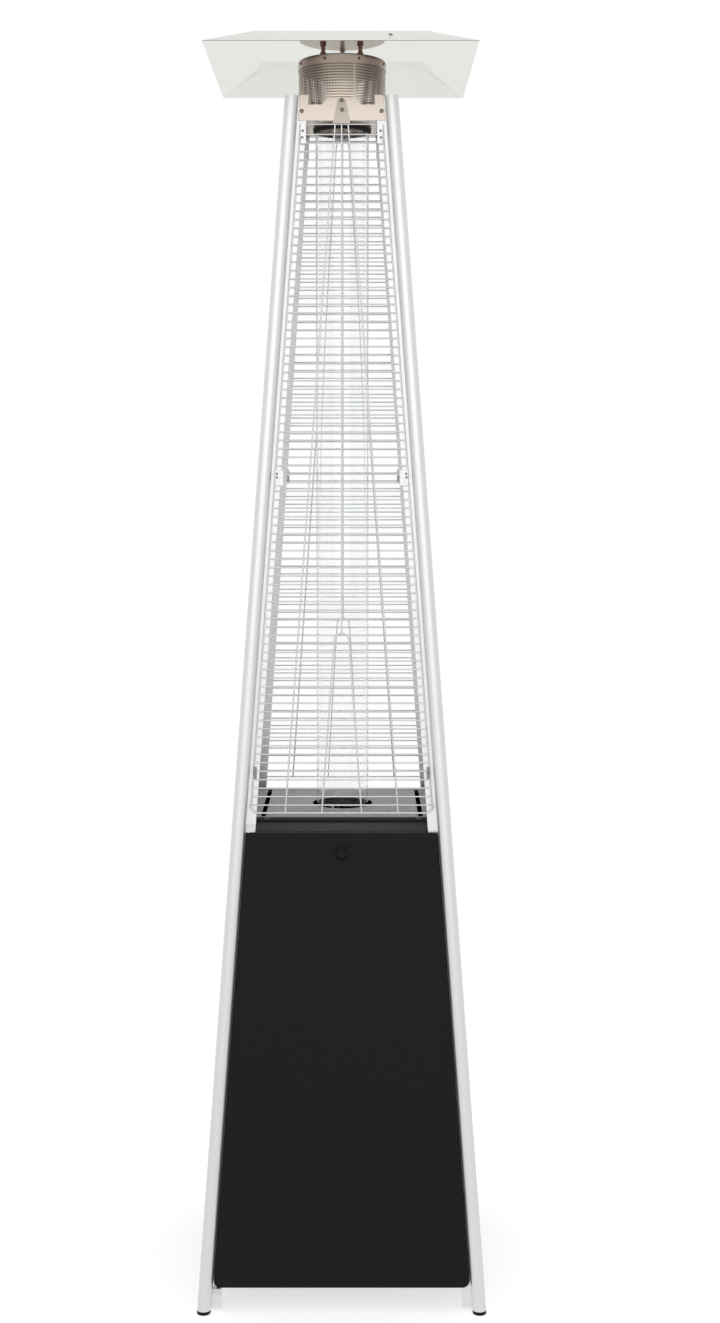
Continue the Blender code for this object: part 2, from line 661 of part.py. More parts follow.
def make_burner():
    """Burner head with its ring of ports, the mixing tube with air windows, and the gas pipe with its jet."""
    bottom = SEAT_FLOOR + FIT
    top = bottom + BURNER_HEIGHT
    neck_bottom = bottom - NECK_LENGTH
    neck_bore = NECK_RADIUS - BURNER_WALL
    inside = BURNER_RADIUS - BURNER_WALL
    roof = top - BURNER_WALL
    floor = bottom + BURNER_WALL
    profile = ((neck_bore, neck_bottom), (NECK_RADIUS, neck_bottom), (NECK_RADIUS, bottom),
               (BURNER_RADIUS, bottom), (BURNER_RADIUS, roof), (inside, top), (neck_bore, top),
               (neck_bore, roof), (inside, roof), (inside, floor), (neck_bore, floor))
    head = make_piece("burner_head", turned_body(profile, TUBE_SIDES), "cast_burner_steel")
    for i in range(BURNER_PORTS):
        turn = math.tau * (i + 0.5) / BURNER_PORTS
        centre = (BURNER_PORT_RING * math.cos(turn), BURNER_PORT_RING * math.sin(turn))
        rings = ((BURNER_PORT_RADIUS, roof - FIT), (BURNER_PORT_RADIUS, top + OVERRUN))
        combine(head, turned_plug(rings, BURNER_PORT_SIDES, centre), "DIFFERENCE")
    smooth_sides(head)

    mixer_top = neck_bottom - FIT
    mixer_bottom = mixer_top - MIXER_LENGTH
    mixer_bore = MIXER_RADIUS - MIXER_WALL
    tube = turned_body(((mixer_bore, mixer_bottom), (MIXER_RADIUS, mixer_bottom),
                        (MIXER_RADIUS, mixer_top), (mixer_bore, mixer_top)), TUBE_SIDES)
    mixer = make_piece("mixing_tube", tube, "stainless_steel")
    window_low = mixer_bottom + JET_HEIGHT
    window_halves = (MIXER_WINDOW_WIDTH / 2, MIXER_RADIUS + OVERRUN)
    for half_x, half_y in (window_halves, window_halves[::-1]):
        window = block((-half_x, -half_y, window_low), (half_x, half_y, window_low + MIXER_WINDOW_HEIGHT))
        combine(mixer, window, "DIFFERENCE")
    smooth_sides(mixer)

    frame = axis_matrix()
    start = frame @ Vector((0, valve_face() - VALVE_LENGTH - FIT, 0))
    second = frame @ Vector((0, valve_face() - VALVE_LENGTH - 2 * PIPE_RADIUS, 0))
    turn_in = math.pi / 2 - TILT
    low = mixer_bottom - PIPE_BEND
    centre_y = second.y - PIPE_BEND * math.cos(turn_in)
    centre_z = second.z - PIPE_BEND * math.sin(turn_in)
    path = [start] + pipe_bend(centre_y, centre_z, turn_in, 0)
    path += pipe_bend(centre_y + 2 * PIPE_BEND, low, math.pi, 1.5 * math.pi)
    path += pipe_bend(-PIPE_BEND, low, -math.pi / 2, 0)
    path.append(Vector((0, 0, mixer_bottom + JET_HEIGHT / 2)))
    pipe = make_piece("gas_pipe", wire_body(path, PIPE_RADIUS, Vector((1, 0, 0)), PIPE_SIDES), "brass")
    jet = turned_plug(((JET_RADIUS, mixer_bottom), (JET_RADIUS, mixer_bottom + JET_HEIGHT)), ROD_SIDES)
    combine(pipe, jet, "UNION")


def pipe_bend(centre_y, centre_z, start, end):
    """Points of a bend of the gas pipe, which runs in the middle plane from front to rear."""
    turns = [start + (end - start) * i / (BEND_POINTS - 1) for i in range(BEND_POINTS)]
    places = [(centre_y + PIPE_BEND * math.cos(t), centre_z + PIPE_BEND * math.sin(t)) for t in turns]
    return [Vector((0, y, z)) for y, z in places]


def wire_body(path, radius, plane_normal, sides=HAIRPIN_SIDES):
    """A round wire along a path that lies in one plane, mitred at each point."""
    loops = []
    for i, point in enumerate(path):
        before = (point - path[i - 1]).normalized() if i > 0 else None
        after = (path[i + 1] - point).normalized() if i + 1 < len(path) else None
        along = ((before or after) + (after or before)).normalized()
        stretch = 1 / along.dot(after or before)
        across = along.cross(plane_normal).normalized()
        loop = []
        for j in range(sides):
            turn = math.tau * j / sides
            sideways = across * (radius * stretch * math.cos(turn))
            loop.append(point + sideways + plane_normal * (radius * math.sin(turn)))
        loops.append(loop)
    return loft(loops)


def make_pilot_group():
    """Pilot light, spark pin and flame sensor, standing on the seat beside the burner."""
    stand = SEAT_FLOOR + FIT
    pieces = (("pilot_light", 0, PILOT_RADIUS, PILOT_HEIGHT, "brass"),
              ("spark_pin", -1, SPARK_RADIUS, SPARK_HEIGHT, "ceramic"),
              ("flame_sensor", 1, SENSOR_RADIUS, SENSOR_HEIGHT, "stainless_steel"))
    for name, place, radius, height, finish in pieces:
        turn = -math.pi / 2 + place * PILOT_SPREAD_ANGLE
        centre = (PILOT_RING * math.cos(turn), PILOT_RING * math.sin(turn))
        rings = ((radius, stand), (radius, stand + height - radius), (radius / 2, stand + height))
        smooth_sides(make_piece(name, turned_plug(rings, ROD_SIDES, centre), finish))


def valve_face():
    """Place of the valve's front face along the knob's axis, against the inside of the box."""
    return -(INNER_DEPTH + BOX_WALL) * math.cos(TILT) - FIT


def make_gas_valve():
    """The valve with its inlet, the spindle that presses into it and the knob on the spindle."""
    face = valve_face()
    back = face - VALVE_LENGTH
    half_width = VALVE_WIDTH / 2
    half_height = VALVE_HEIGHT / 2
    housing = knob_frame_block((-half_width, back, -half_height), (half_width, face, half_height))
    valve = make_piece("gas_valve", housing, "brass")
    inlet_top = axis_matrix() @ Vector((0, (face + back) / 2, -half_height))
    centre = (inlet_top.x, inlet_top.y)
    nut_bottom = inlet_top.z - INLET_NUT_LENGTH
    inlet_rings = ((INLET_NUT_RADIUS, inlet_top.z + OVERRUN), (INLET_NUT_RADIUS, nut_bottom),
                   (INLET_RADIUS, nut_bottom), (INLET_RADIUS, inlet_top.z - INLET_LENGTH))
    combine(valve, turned_plug(inlet_rings, ROD_SIDES, centre), "UNION")
    socket = SPINDLE_RADIUS + SPINDLE_PLAY
    spindle_end = face - SPINDLE_SEAT
    socket_end = spindle_end - SPINDLE_TRAVEL - FIT
    socket_rings = ((socket, socket_end), (socket, face + OVERRUN))
    combine(valve, along_knob_axis(socket_rings, SPINDLE_SIDES), "DIFFERENCE")

    knob_back = PANEL_SKIN + FIT
    spindle_tip = knob_back + KNOB_SOCKET_DEPTH - FIT
    pivot = axis_matrix() @ Vector((0, spindle_end, 0))
    spindle_rings = ((SPINDLE_RADIUS, spindle_end), (SPINDLE_RADIUS, spindle_tip))
    spindle = along_knob_axis(spindle_rings, SPINDLE_SIDES)
    smooth_sides(make_piece("valve_spindle", spindle, "brass", origin=pivot))

    knob_front = knob_back + KNOB_LENGTH
    rings = ((KNOB_RADIUS, knob_back), (KNOB_RADIUS, knob_back + KNOB_BEVEL),
             (KNOB_GRIP_RADIUS, knob_back + 2 * KNOB_BEVEL), (KNOB_GRIP_RADIUS, knob_front - KNOB_BEVEL),
             (KNOB_GRIP_RADIUS - KNOB_BEVEL, knob_front))
    knob = make_piece("control_knob", along_knob_axis(rings, KNOB_SIDES), "black_plastic")
    pointer_end = KNOB_GRIP_RADIUS - KNOB_BEVEL
    pointer = knob_frame_block((-KNOB_POINTER_WIDTH / 2, knob_front - KNOB_BEVEL, KNOB_POINTER_START),
                               (KNOB_POINTER_WIDTH / 2, knob_front + KNOB_POINTER_RISE, pointer_end))
    combine(knob, pointer, "UNION")
    hollow = SPINDLE_RADIUS + FIT
    hollow_rings = ((hollow, knob_back - OVERRUN), (hollow, knob_back + KNOB_SOCKET_DEPTH))
    combine(knob, along_knob_axis(hollow_rings, SPINDLE_SIDES), "DIFFERENCE")
    centre_point = axis_matrix() @ Vector((0, knob_back, 0))
    knob.data.transform(Matrix.Translation(-centre_point))
    knob.location = centre_point
    smooth_sides(knob)


def make_tilt_switch():
    """The tilt switch on the inner wall of the box, beside the valve."""
    top = BOX_BOTTOM + BOX_HEIGHT / 2 + TILT_HEIGHT / 2
    wall_depth = INNER_DEPTH + BOX_WALL + FIT
    loops = []
    for height in (top - TILT_HEIGHT, top):
        corners = ((-TILT_LENGTH / 2, wall_depth), (TILT_LENGTH / 2, wall_depth),
                   (TILT_LENGTH / 2, wall_depth + TILT_WIDTH), (-TILT_LENGTH / 2, wall_depth + TILT_WIDTH))
        loops.append([on_face(x, depth, height) for x, depth in corners])
    make_piece("tilt_switch", loft(loops), "black_plastic", quarter=1)


def guard_half_width(height):
    """Half the width of a guard over its side rails."""
    return half_span(height) - GUARD_EDGE


def strip_triangles(outer, inner):
    """Triangles between two chains of (height, vertex) that run side by side."""
    triangles = []
    i = 0
    j = 0
    while i < len(outer) - 1 or j < len(inner) - 1:
        outer_next = outer[i + 1][0] if i < len(outer) - 1 else math.inf
        inner_next = inner[j + 1][0] if j < len(inner) - 1 else math.inf
        if outer_next <= inner_next:
            triangles.append((outer[i][1], outer[i + 1][1], inner[j][1]))
            i += 1
        else:
            triangles.append((outer[i][1], inner[j + 1][1], inner[j][1]))
            j += 1
    return triangles


def guard_body(heights):
    """One guard half: cross wires at the given heights between two side rails, with every gap open.

    A cross wire has a ridge in front and a flat back, so the front layer has one edge for each wire.
    """
    half_wire = GUARD_WIRE / 2
    ends = (heights[0] - half_wire, heights[-1] + half_wire)
    rail_heights = [ends[0]] + list(heights[RAIL_POINT_ROWS:-RAIL_POINT_ROWS:RAIL_POINT_ROWS]) + [ends[1]]
    back_heights = [height + side * half_wire for height in heights for side in (-1, 1)][1:-1]
    rings = {("front", "rail"): rail_heights, ("back", "rail"): rail_heights,
             ("front", "gap"): heights, ("back", "gap"): back_heights}
    points = []
    faces = []
    index = {}
    for (layer, ring), levels in rings.items():
        depth = ROW_DEPTH + (half_wire if layer == "back" else -half_wire)
        inset = GUARD_WIRE if ring == "gap" else 0
        for side in (-1, 1):
            index[layer, ring, side] = []
            for height in levels:
                index[layer, ring, side].append((height, len(points)))
                points.append(on_face(side * (guard_half_width(height) - inset), depth, height))

    def row(layer, ring, i):
        """The left and the right vertex of one level."""
        return index[layer, ring, -1][i][1], index[layer, ring, 1][i][1]

    def across(first, second):
        """A face between two pairs of left and right vertices."""
        faces.append((first[0], first[1], second[1], second[0]))

    for layer in ("front", "back"):
        for side in (-1, 1):
            faces.extend(strip_triangles(index[layer, "rail", side], index[layer, "gap", side]))
        for i in (0, -1):
            across(row(layer, "rail", i), row(layer, "gap", i))
    for i in range(1, len(back_heights) - 1, 2):
        across(row("back", "gap", i), row("back", "gap", i + 1))
    for i in range(len(heights)):
        below, above = 2 * i - 1, 2 * i
        if i > 0:
            across(row("front", "gap", i), row("back", "gap", below))
        if i < len(heights) - 1:
            across(row("front", "gap", i), row("back", "gap", above))
    for i in (0, -1):
        across(row("front", "rail", i), row("back", "rail", i))
    for side in (-1, 1):
        front_rail, back_rail = index["front", "rail", side], index["back", "rail", side]
        for i in range(len(rail_heights) - 1):
            faces.append((front_rail[i][1], front_rail[i + 1][1], back_rail[i + 1][1], back_rail[i][1]))
        front_gap, back_gap = index["front", "gap", side], index["back", "gap", side]
        for i in range(len(heights) - 1):
            behind = 2 * i
            faces.append((front_gap[i][1], front_gap[i + 1][1], back_gap[behind + 1][1], back_gap[behind][1]))
    return points, faces


def hairpin_x(bend_radius, bend_height, height):
    """Half the distance between a hairpin's legs, which spread with the posts below the bend."""
    return bend_radius + LEAN * (bend_height - height)


def bend(centre_x, centre_height, radius, start, end):
    """Points of a bend in the plane of the hairpins, from one angle to another."""
    turns = [start + (end - start) * i / (BEND_POINTS - 1) for i in range(BEND_POINTS)]
    places = [(centre_x + radius * math.cos(t), centre_height + radius * math.sin(t)) for t in turns]
    return [on_face(x, HAIRPIN_DEPTH, height) for x, height in places]


def hairpin_body(bend_radius, low, high):
    """A hairpin wire with its legs down and its round bend at the top."""
    foot = hairpin_x(bend_radius, high, low)
    path = [on_face(-foot, HAIRPIN_DEPTH, low)]
    path += bend(0, high, bend_radius, math.pi, 0)
    path.append(on_face(foot, HAIRPIN_DEPTH, low))
    return wire_body(path, GUARD_WIRE / 2, face_normal())


def face_normal():
    """The outward normal of the front side."""
    return Vector((0, -math.cos(TILT), math.sin(TILT)))


def straight_wire(x_low, low, x_high, high):
    """A straight upright wire in the plane of the hairpins."""
    path = [on_face(x_low, HAIRPIN_DEPTH, low), on_face(x_high, HAIRPIN_DEPTH, high)]
    return wire_body(path, GUARD_WIRE / 2, face_normal())


def make_guards():
    """Lower and upper guard of each side, each with its cross wires and its upright hairpins."""
    row_count = int((GUARD_TOP - GUARD_ROW_START) / GUARD_ROW_PITCH)
    rows = [GUARD_ROW_START + GUARD_ROW_PITCH * i for i in range(row_count)]
    lower_count = round(row_count * GUARD_LOWER_SHARE)
    lower_heights = rows[:lower_count]
    upper_heights = rows[lower_count:] + [GUARD_TOP]
    lower = make_piece("guard_lower_front", guard_body(lower_heights), "bright_wire")
    upper = make_piece("guard_upper_front", guard_body(upper_heights), "bright_wire")

    split_low = lower_heights[-1]
    split_high = upper_heights[0]
    radius = GUARD_CORNER_RADIUS
    corner_x = guard_half_width(GUARD_BOTTOM) - GUARD_WIRE / 2 - radius
    corner_height = GUARD_BOTTOM + radius
    path = bend(-corner_x, corner_height, radius, math.pi, 1.5 * math.pi)
    path += bend(corner_x, corner_height, radius, 1.5 * math.pi, math.tau)
    lower_uprights = make_piece("guard_lower_front_uprights",
                                wire_body(path, GUARD_WIRE / 2, face_normal()), "bright_wire")
    leg_foot = hairpin_x(HAIRPIN_BEND_RADIUS, GUARD_TOP, GUARD_BOTTOM)
    leg_split = hairpin_x(HAIRPIN_BEND_RADIUS, GUARD_TOP, split_low)
    for side in (-1, 1):
        leg = straight_wire(side * leg_foot, GUARD_BOTTOM, side * leg_split, split_low)
        combine(lower_uprights, leg, "UNION")
    small_top = GUARD_BOTTOM + SMALL_HAIRPIN_RISE
    combine(lower_uprights, hairpin_body(SMALL_HAIRPIN_BEND_RADIUS, GUARD_BOTTOM, small_top), "UNION")
    apex = small_top + SMALL_HAIRPIN_BEND_RADIUS
    combine(lower_uprights, straight_wire(0, apex, 0, split_low), "UNION")

    upper_uprights = make_piece("guard_upper_front_uprights",
                                hairpin_body(HAIRPIN_BEND_RADIUS, split_high, GUARD_TOP), "bright_wire")
    centre_wire = straight_wire(0, split_high, 0, GUARD_TOP + HAIRPIN_BEND_RADIUS)
    combine(upper_uprights, centre_wire, "UNION")
    for quarter, side in enumerate(("right", "rear", "left"), start=1):
        copy_piece(lower, "guard_lower_" + side, quarter)
        copy_piece(upper, "guard_upper_" + side, quarter)
        copy_piece(lower_uprights, "guard_lower_" + side + "_uprights", quarter)
        copy_piece(upper_uprights, "guard_upper_" + side + "_uprights", quarter)


def frame_wall_outline(depth):
    """Outline of one wall of the top frame: tabs on the flanges and a tongue in the middle."""
    bottom = FRAME_BOTTOM
    shelf = bottom + FRAME_WALL_RISE
    tongue = shelf + TONGUE_RISE
    tab = bottom + FRAME_TAB_RISE

    def reach(inset, height):
        return half_span(height) - inset

    right = [(reach(FRAME_TAB_OUTER, bottom), bottom), (reach(FRAME_TAB_OUTER, tab), tab),
             (reach(FLANGE_REACH, tab), tab), (reach(FLANGE_REACH, shelf), shelf),
             (TONGUE_BASE_HALF_WIDTH, shelf), (TONGUE_TOP_HALF_WIDTH, tongue)]
    left = [(-x, height) for x, height in reversed(right)]
    return [on_face(x, depth, height) for x, height in right + left]


def make_top_frame():
    """The tray on top of the posts: a floor with the tube's bore and four upright walls."""
    half = half_span(FRAME_BOTTOM) - FRAME_WALL_DEPTH - FRAME_SHEET / 2
    arm = half_span(FRAME_BOTTOM) - FLANGE_REACH - FIT
    corners = ((arm, half), (-arm, half), (-arm, arm), (-half, arm), (-half, -arm), (-arm, -arm),
               (-arm, -half), (arm, -half), (arm, -arm), (half, -arm), (half, arm), (arm, arm))
    floor = [[Vector((x, y, z)) for x, y in corners] for z in (FRAME_BOTTOM, FRAME_BOTTOM + FRAME_SHEET)]
    frame = make_piece("top_frame", loft(floor), "stainless_steel")
    combine(frame, turned_plug(((FRAME_BORE_RADIUS, FRAME_BOTTOM - OVERRUN),
                                (FRAME_BORE_RADIUS, FRAME_BOTTOM + OVERRUN))), "DIFFERENCE")
    points, faces = loft([frame_wall_outline(FRAME_WALL_DEPTH),
                          frame_wall_outline(FRAME_WALL_DEPTH + FRAME_SHEET)])
    for quarter in range(4):
        turn = Matrix.Rotation(quarter * math.pi / 2, 4, "Z")
        combine(frame, ([turn @ point for point in points], faces), "UNION")


def make_hook_plates():
    """The stepped plate on each tongue, over the bend of the big hairpin."""
    back = FRAME_WALL_DEPTH - FIT
    front = HAIRPIN_DEPTH - GUARD_WIRE / 2 - FIT
    bottom = GUARD_TOP + FIT
    face_top = bottom + HOOK_FACE_HEIGHT
    step_top = face_top + HOOK_STEP_HEIGHT
    top = step_top + HOOK_BACK_HEIGHT
    outline = ((front, bottom), (front, face_top), (back, step_top), (back, top),
               (back - HOOK_SHEET, top), (back - HOOK_SHEET, step_top), (front - HOOK_SHEET, face_top),
               (front - HOOK_SHEET, bottom))
    loops = []
    for side in (-1, 1):
        loop = []
        for depth, height in outline:
            share = (height - bottom) / (top - bottom)
            half_width = HOOK_BOTTOM_HALF_WIDTH * (1 - share) + HOOK_TOP_HALF_WIDTH * share
            loop.append(on_face(side * half_width, depth, height))
        loops.append(loop)
    plate = make_piece("hook_plate_front", loft(loops), "stainless_steel")
    for quarter, side in enumerate(("right", "rear", "left"), start=1):
        copy_piece(plate, "hook_plate_" + side, quarter)


def emitter_body():
    """A drum of thin sheet with rows of upright slots between plain bands."""
    columns = 2 * EMITTER_SLOT_COLUMNS
    levels = [EMITTER_BOTTOM, EMITTER_BOTTOM + EMITTER_FOOT_BAND]
    room = EMITTER_HEIGHT - EMITTER_FOOT_BAND - EMITTER_TOP_BAND - EMITTER_WEB * (EMITTER_SLOT_ROWS - 1)
    slot = room / EMITTER_SLOT_ROWS
    for _ in range(EMITTER_SLOT_ROWS - 1):
        levels += [levels[-1] + slot, levels[-1] + slot + EMITTER_WEB]
    levels += [levels[-1] + slot, EMITTER_TOP]
    radii = (EMITTER_RADIUS - EMITTER_SHEET, EMITTER_RADIUS)
    points = [point for radius in radii for height in levels for point in circle(radius, height, columns)]

    def vertex(shell, level, column):
        return (shell * len(levels) + level) * columns + column % columns

    faces = []
    for level in range(len(levels) - 1):
        for column in range(columns):
            corners = ((level, column), (level, column + 1), (level + 1, column + 1), (level + 1, column))
            if level % 2 == 1 and column % 2 == 1:
                for first, second in zip(corners, corners[1:] + corners[:1]):
                    faces.append((vertex(0, *first), vertex(0, *second),
                                  vertex(1, *second), vertex(1, *first)))
            else:
                faces += [tuple(vertex(shell, *corner) for corner in corners) for shell in (0, 1)]
    for level in (0, len(levels) - 1):
        for column in range(columns):
            faces.append((vertex(0, level, column), vertex(0, level, column + 1),
                          vertex(1, level, column + 1), vertex(1, level, column)))
    return points, faces


def make_emitter():
    """The slotted drum and the lid whose skirt overlaps it."""
    smooth_sides(make_piece("emitter_drum", emitter_body(), "tempered_stainless_steel"))
    inner = (EMITTER_RADIUS + LID_CLEARANCE) / math.cos(math.pi / LID_SIDES)
    outer = inner + LID_SHEET
    skirt_bottom = LID_TOP - LID_SKIRT - LID_SHOULDER
    underside = LID_TOP - LID_SHEET
    lid = turned_plug(((outer - LID_SHOULDER, LID_TOP), (outer, LID_TOP - LID_SHOULDER),
                       (outer, skirt_bottom), (inner, skirt_bottom), (inner, underside)), LID_SIDES)
    smooth_sides(make_piece("emitter_lid", lid, "tempered_stainless_steel"), LID_SMOOTH_TURN)


def make_studs():
    """Three studs that carry the reflector above the lid."""
    bottom = LID_TOP + FIT
    top = REFLECTOR_UNDERSIDE - FIT
    for name, turn in STUD_ANGLES.items():
        centre = (STUD_RING * math.cos(turn), STUD_RING * math.sin(turn))
        rings = ((STUD_COLLAR_RADIUS, bottom), (STUD_COLLAR_RADIUS, bottom + STUD_COLLAR_HEIGHT),
                 (STUD_RADIUS, bottom + STUD_COLLAR_HEIGHT), (STUD_RADIUS, top - STUD_COLLAR_HEIGHT),
                 (STUD_COLLAR_RADIUS, top - STUD_COLLAR_HEIGHT), (STUD_COLLAR_RADIUS, top))
        stud = turned_plug(rings, ROD_SIDES, centre)
        smooth_sides(make_piece("stud_" + name, stud, "tempered_stainless_steel"))


def make_reflector():
    """The reflector: the same folded surface above and below, one sheet apart."""
    def square(half, height):
        return [Vector((x * half, y * half, height)) for x, y in ((-1, -1), (1, -1), (1, 1), (-1, 1))]

    low = REFLECTOR_UNDERSIDE - REFLECTOR_SLOPE_DROP
    sheet = REFLECTOR_SHEET
    loops = [square(REFLECTOR_FLAT_HALF_WIDTH, REFLECTOR_UNDERSIDE), square(REFLECTOR_HALF_WIDTH, low),
             square(REFLECTOR_HALF_WIDTH, low + sheet),
             square(REFLECTOR_FLAT_HALF_WIDTH, REFLECTOR_UNDERSIDE + sheet)]
    make_piece("reflector", loft(loops), "mirror_aluminium")


def main():
    for item in list(bpy.data.objects):
        bpy.data.objects.remove(item)
    make_posts_and_feet()
    make_panels()
    make_door_fittings()
    make_shelf()
    make_burner_box()
    make_deck()
    make_flame_tube()
    make_burner()
    make_pilot_group()
    make_gas_valve()
    make_tilt_switch()
    make_guards()
    make_top_frame()
    make_hook_plates()
    make_emitter()
    make_studs()
    make_reflector()


main()
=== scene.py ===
"""Gas patio heater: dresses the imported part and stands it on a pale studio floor.

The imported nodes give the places. The pieces that show are made again here with their folds, wires, holes and
screws, and the inner nodes keep their shape and get a finish. Metres, Z up, front towards -Y.
The four sides are alike, so a piece of one side is modelled at the front and turned a quarter.
"""
import math
from functools import partial

import bmesh
import bpy
from bpy.props import FloatProperty, FloatVectorProperty, IntProperty, PointerProperty
from mathutils import Matrix, Vector
from mathutils.geometry import tessellate_polygon


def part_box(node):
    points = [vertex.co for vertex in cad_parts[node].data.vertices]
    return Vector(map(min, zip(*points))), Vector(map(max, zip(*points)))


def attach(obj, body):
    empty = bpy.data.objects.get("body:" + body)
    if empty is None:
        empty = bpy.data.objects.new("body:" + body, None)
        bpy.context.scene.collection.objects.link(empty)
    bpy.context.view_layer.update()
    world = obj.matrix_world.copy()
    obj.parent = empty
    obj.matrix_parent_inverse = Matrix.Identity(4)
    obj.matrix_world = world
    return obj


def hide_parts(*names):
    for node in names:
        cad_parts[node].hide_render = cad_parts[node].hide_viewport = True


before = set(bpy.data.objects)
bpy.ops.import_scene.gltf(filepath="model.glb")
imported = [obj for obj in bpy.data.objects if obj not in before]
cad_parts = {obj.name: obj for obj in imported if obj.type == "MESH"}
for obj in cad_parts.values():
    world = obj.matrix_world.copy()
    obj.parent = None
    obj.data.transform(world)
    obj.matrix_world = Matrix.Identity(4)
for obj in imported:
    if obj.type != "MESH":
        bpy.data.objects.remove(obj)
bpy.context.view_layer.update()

bl_info = {
    "name": "Pyramid Patio Heater",
    "version": (1, 0, 0),
    "blender": (4, 5, 0),
    "location": "View3D > Sidebar > Heater",
    "description": "Builds a pyramid gas patio heater with a glass flame tube behind wire guards",
    "category": "Add Mesh",
}

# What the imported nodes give: the box before anything is added, and the places of the pieces
POST_FOOT, POST_TOP = [corner.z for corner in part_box("post_front_left")]
PLUG_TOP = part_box("foot_front_left")[1].z
PANEL_LOW, PANEL_HIGH = [corner.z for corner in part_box("front_panel")]
SHELL_LOW, SHELL_HIGH = [corner.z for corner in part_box("burner_box")]
DECK_LOW, DECK_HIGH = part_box("burner_deck")
GLASS_LOW, GLASS_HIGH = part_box("glass_tube")
COLLAR_LOW, COLLAR_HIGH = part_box("tube_seal_upper")
ROWS_LOW, ROWS_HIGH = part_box("guard_lower_front")[0].z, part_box("guard_upper_front")[1].z
FRAME_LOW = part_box("top_frame")[0].z
HOOK_LOW, HOOK_HIGH = [corner.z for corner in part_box("hook_plate_front")]
DRUM_LOW, DRUM_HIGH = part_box("emitter_drum")
LID_LOW, LID_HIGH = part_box("emitter_lid")
DISH_LOW, DISH_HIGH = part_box("reflector")
# Diameter of the guards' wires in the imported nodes
PACKED_WIRE = 0.0030
# Sheet of the deck, the top frame, its hook plates, the clips, the drum, the lid and the reflector, and the burner
# box's own
SHEET = 0.0010
SHELL_SHEET = 0.0012
# The end radius of a slot as a share of half its width
ROUND_END = 0.98
SHARP_ANGLE = 35
SIDES = ("front", "right", "rear", "left")
CORNERS = ("front_left", "front_right", "rear_right", "rear_left")


def linear(hex_colour):
    """An sRGB hex colour as linear red, green, blue and alpha."""
    channels = [int(hex_colour[i:i + 2], 16) / 255 for i in (0, 2, 4)]
    return [c / 12.92 if c <= 0.04045 else ((c + 0.055) / 1.055) ** 2.4 for c in channels] + [1.0]


def length(name, default, description):
    """A size in metres that the sidebar shows."""
    return FloatProperty(name=name, default=default, description=description, unit="LENGTH", precision=4)


def colour(name, hex_colour, description):
    """A colour that the sidebar shows."""
    return FloatVectorProperty(name=name, default=linear(hex_colour), description=description, subtype="COLOR",
                               size=4, min=0.0, max=1.0)


class HeaterSizes(bpy.types.PropertyGroup):
    """Sizes of the heater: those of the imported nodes, and of the finer shapes that are made here."""
    base_half_span: length("Spread at the floor", 0.2500, "From the axis to a post's centreline, at the floor")
    top_half_span: length("Spread at the top", 0.0903, "From the axis to a post's centreline, at the posts' top")
    clearance: length("Clearance", 0.0003, "Gap between pieces that touch")
    tube_radius: length("Post radius", 0.0125, "Radius of a post's round tube")
    tube_wall: length("Post wall", 0.0015, "Wall of a post's tube")
    flange_depth: length("Flange depth", 0.0080, "From the post's centreline to the face of its flange")
    flange_thickness: length("Flange thickness", 0.0020, "Thickness of a flange")
    flange_reach: length("Flange reach", 0.0303, "From the post's centreline to the flange's edge")
    sheet: length("Cladding sheet", 0.0010, "Thickness of the cladding")
    fold_radius: length("Fold radius", 0.0022, "Outer radius of the cladding's folds")
    door_return: length("Door return", 0.0046, "Depth of the door's folded edge")
    cladding_corner: length("Cladding corner", 0.0130, "Radius of the cladding's bottom corners")
    knob_below: length("Knob below the top", 0.0345, "From the door's top edge down to the knob's axis")
    knob_radius: length("Knob radius", 0.0115, "Radius of the knob's skirt")
    knob_length: length("Knob length", 0.0160, "How far the knob reaches out of the door")
    row_wire: length("Row wire", 0.0027, "Diameter of the guard's cross wires")
    hairpin_wire: length("Hairpin wire", 0.0030, "Diameter of the upright hairpins")
    foot_cap: length("Foot cap", 0.0030, "How far the black foot covers the post's end")
    row_pitch: length("Row pitch", 0.01536, "Distance between the guard's cross wires")
    first_row: length("First row", 0.0136, "From the guard's foot to its first cross wire")
    guard_edge: length("Guard edge", 0.0183, "From the post's centreline to the guard's edge")
    bend_radius: length("Hairpin bend", 0.0118, "Radius of the big hairpin's bend")
    small_bend_radius: length("Small hairpin bend", 0.0134, "Radius of the small hairpin's bend")
    small_rise: length("Small hairpin rise", 0.3115, "From the guard's foot to the small hairpin's bend")
    lower_rows: IntProperty(name="Lower rows", default=39, min=2, description="Cross wires of the lower guard")
    rows: IntProperty(name="Rows", default=80, min=4, description="Cross wires of both guards")
    hole_pitch: length("Emitter hole pitch", 0.0050, "Distance between the emitter's holes")
    hole_width: length("Emitter hole width", 0.0042, "Width of the emitter's holes")
    hole_height: length("Emitter hole height", 0.0026, "Height of the emitter's holes")


class HeaterColours(bpy.types.PropertyGroup):
    """Colours of the heater's finishes."""
    posts: colour("Posts", "E8E8E8", "Anodised aluminium of the posts")
    cladding: colour("Cladding", "171617", "Black powder coat of the door, the sides and the burner box")
    deck: colour("Deck", "909091", "Zinc of the deck, the bottle shelf and the clips' bolts")
    wires: colour("Wires", "D8D9DA", "Bright plating of the guards' wires")
    top_frame: colour("Top frame", "CFC4B9", "Stainless steel of the top frame and its hook plates")
    emitter: colour("Emitter", "948880", "Steel of the emitter, darkened by the heat")
    reflector: colour("Reflector", "ECECE7", "Polished aluminium of the reflector")
    plastic: colour("Knob and feet", "121213", "Black plastic of the knob and the feet")


def sizes():
    return bpy.context.scene.heater_sizes


def colours():
    return bpy.context.scene.heater_colours


# Places

def lean():
    """How far a post comes in for each metre that it rises."""
    return (sizes().base_half_span - sizes().top_half_span) / POST_TOP


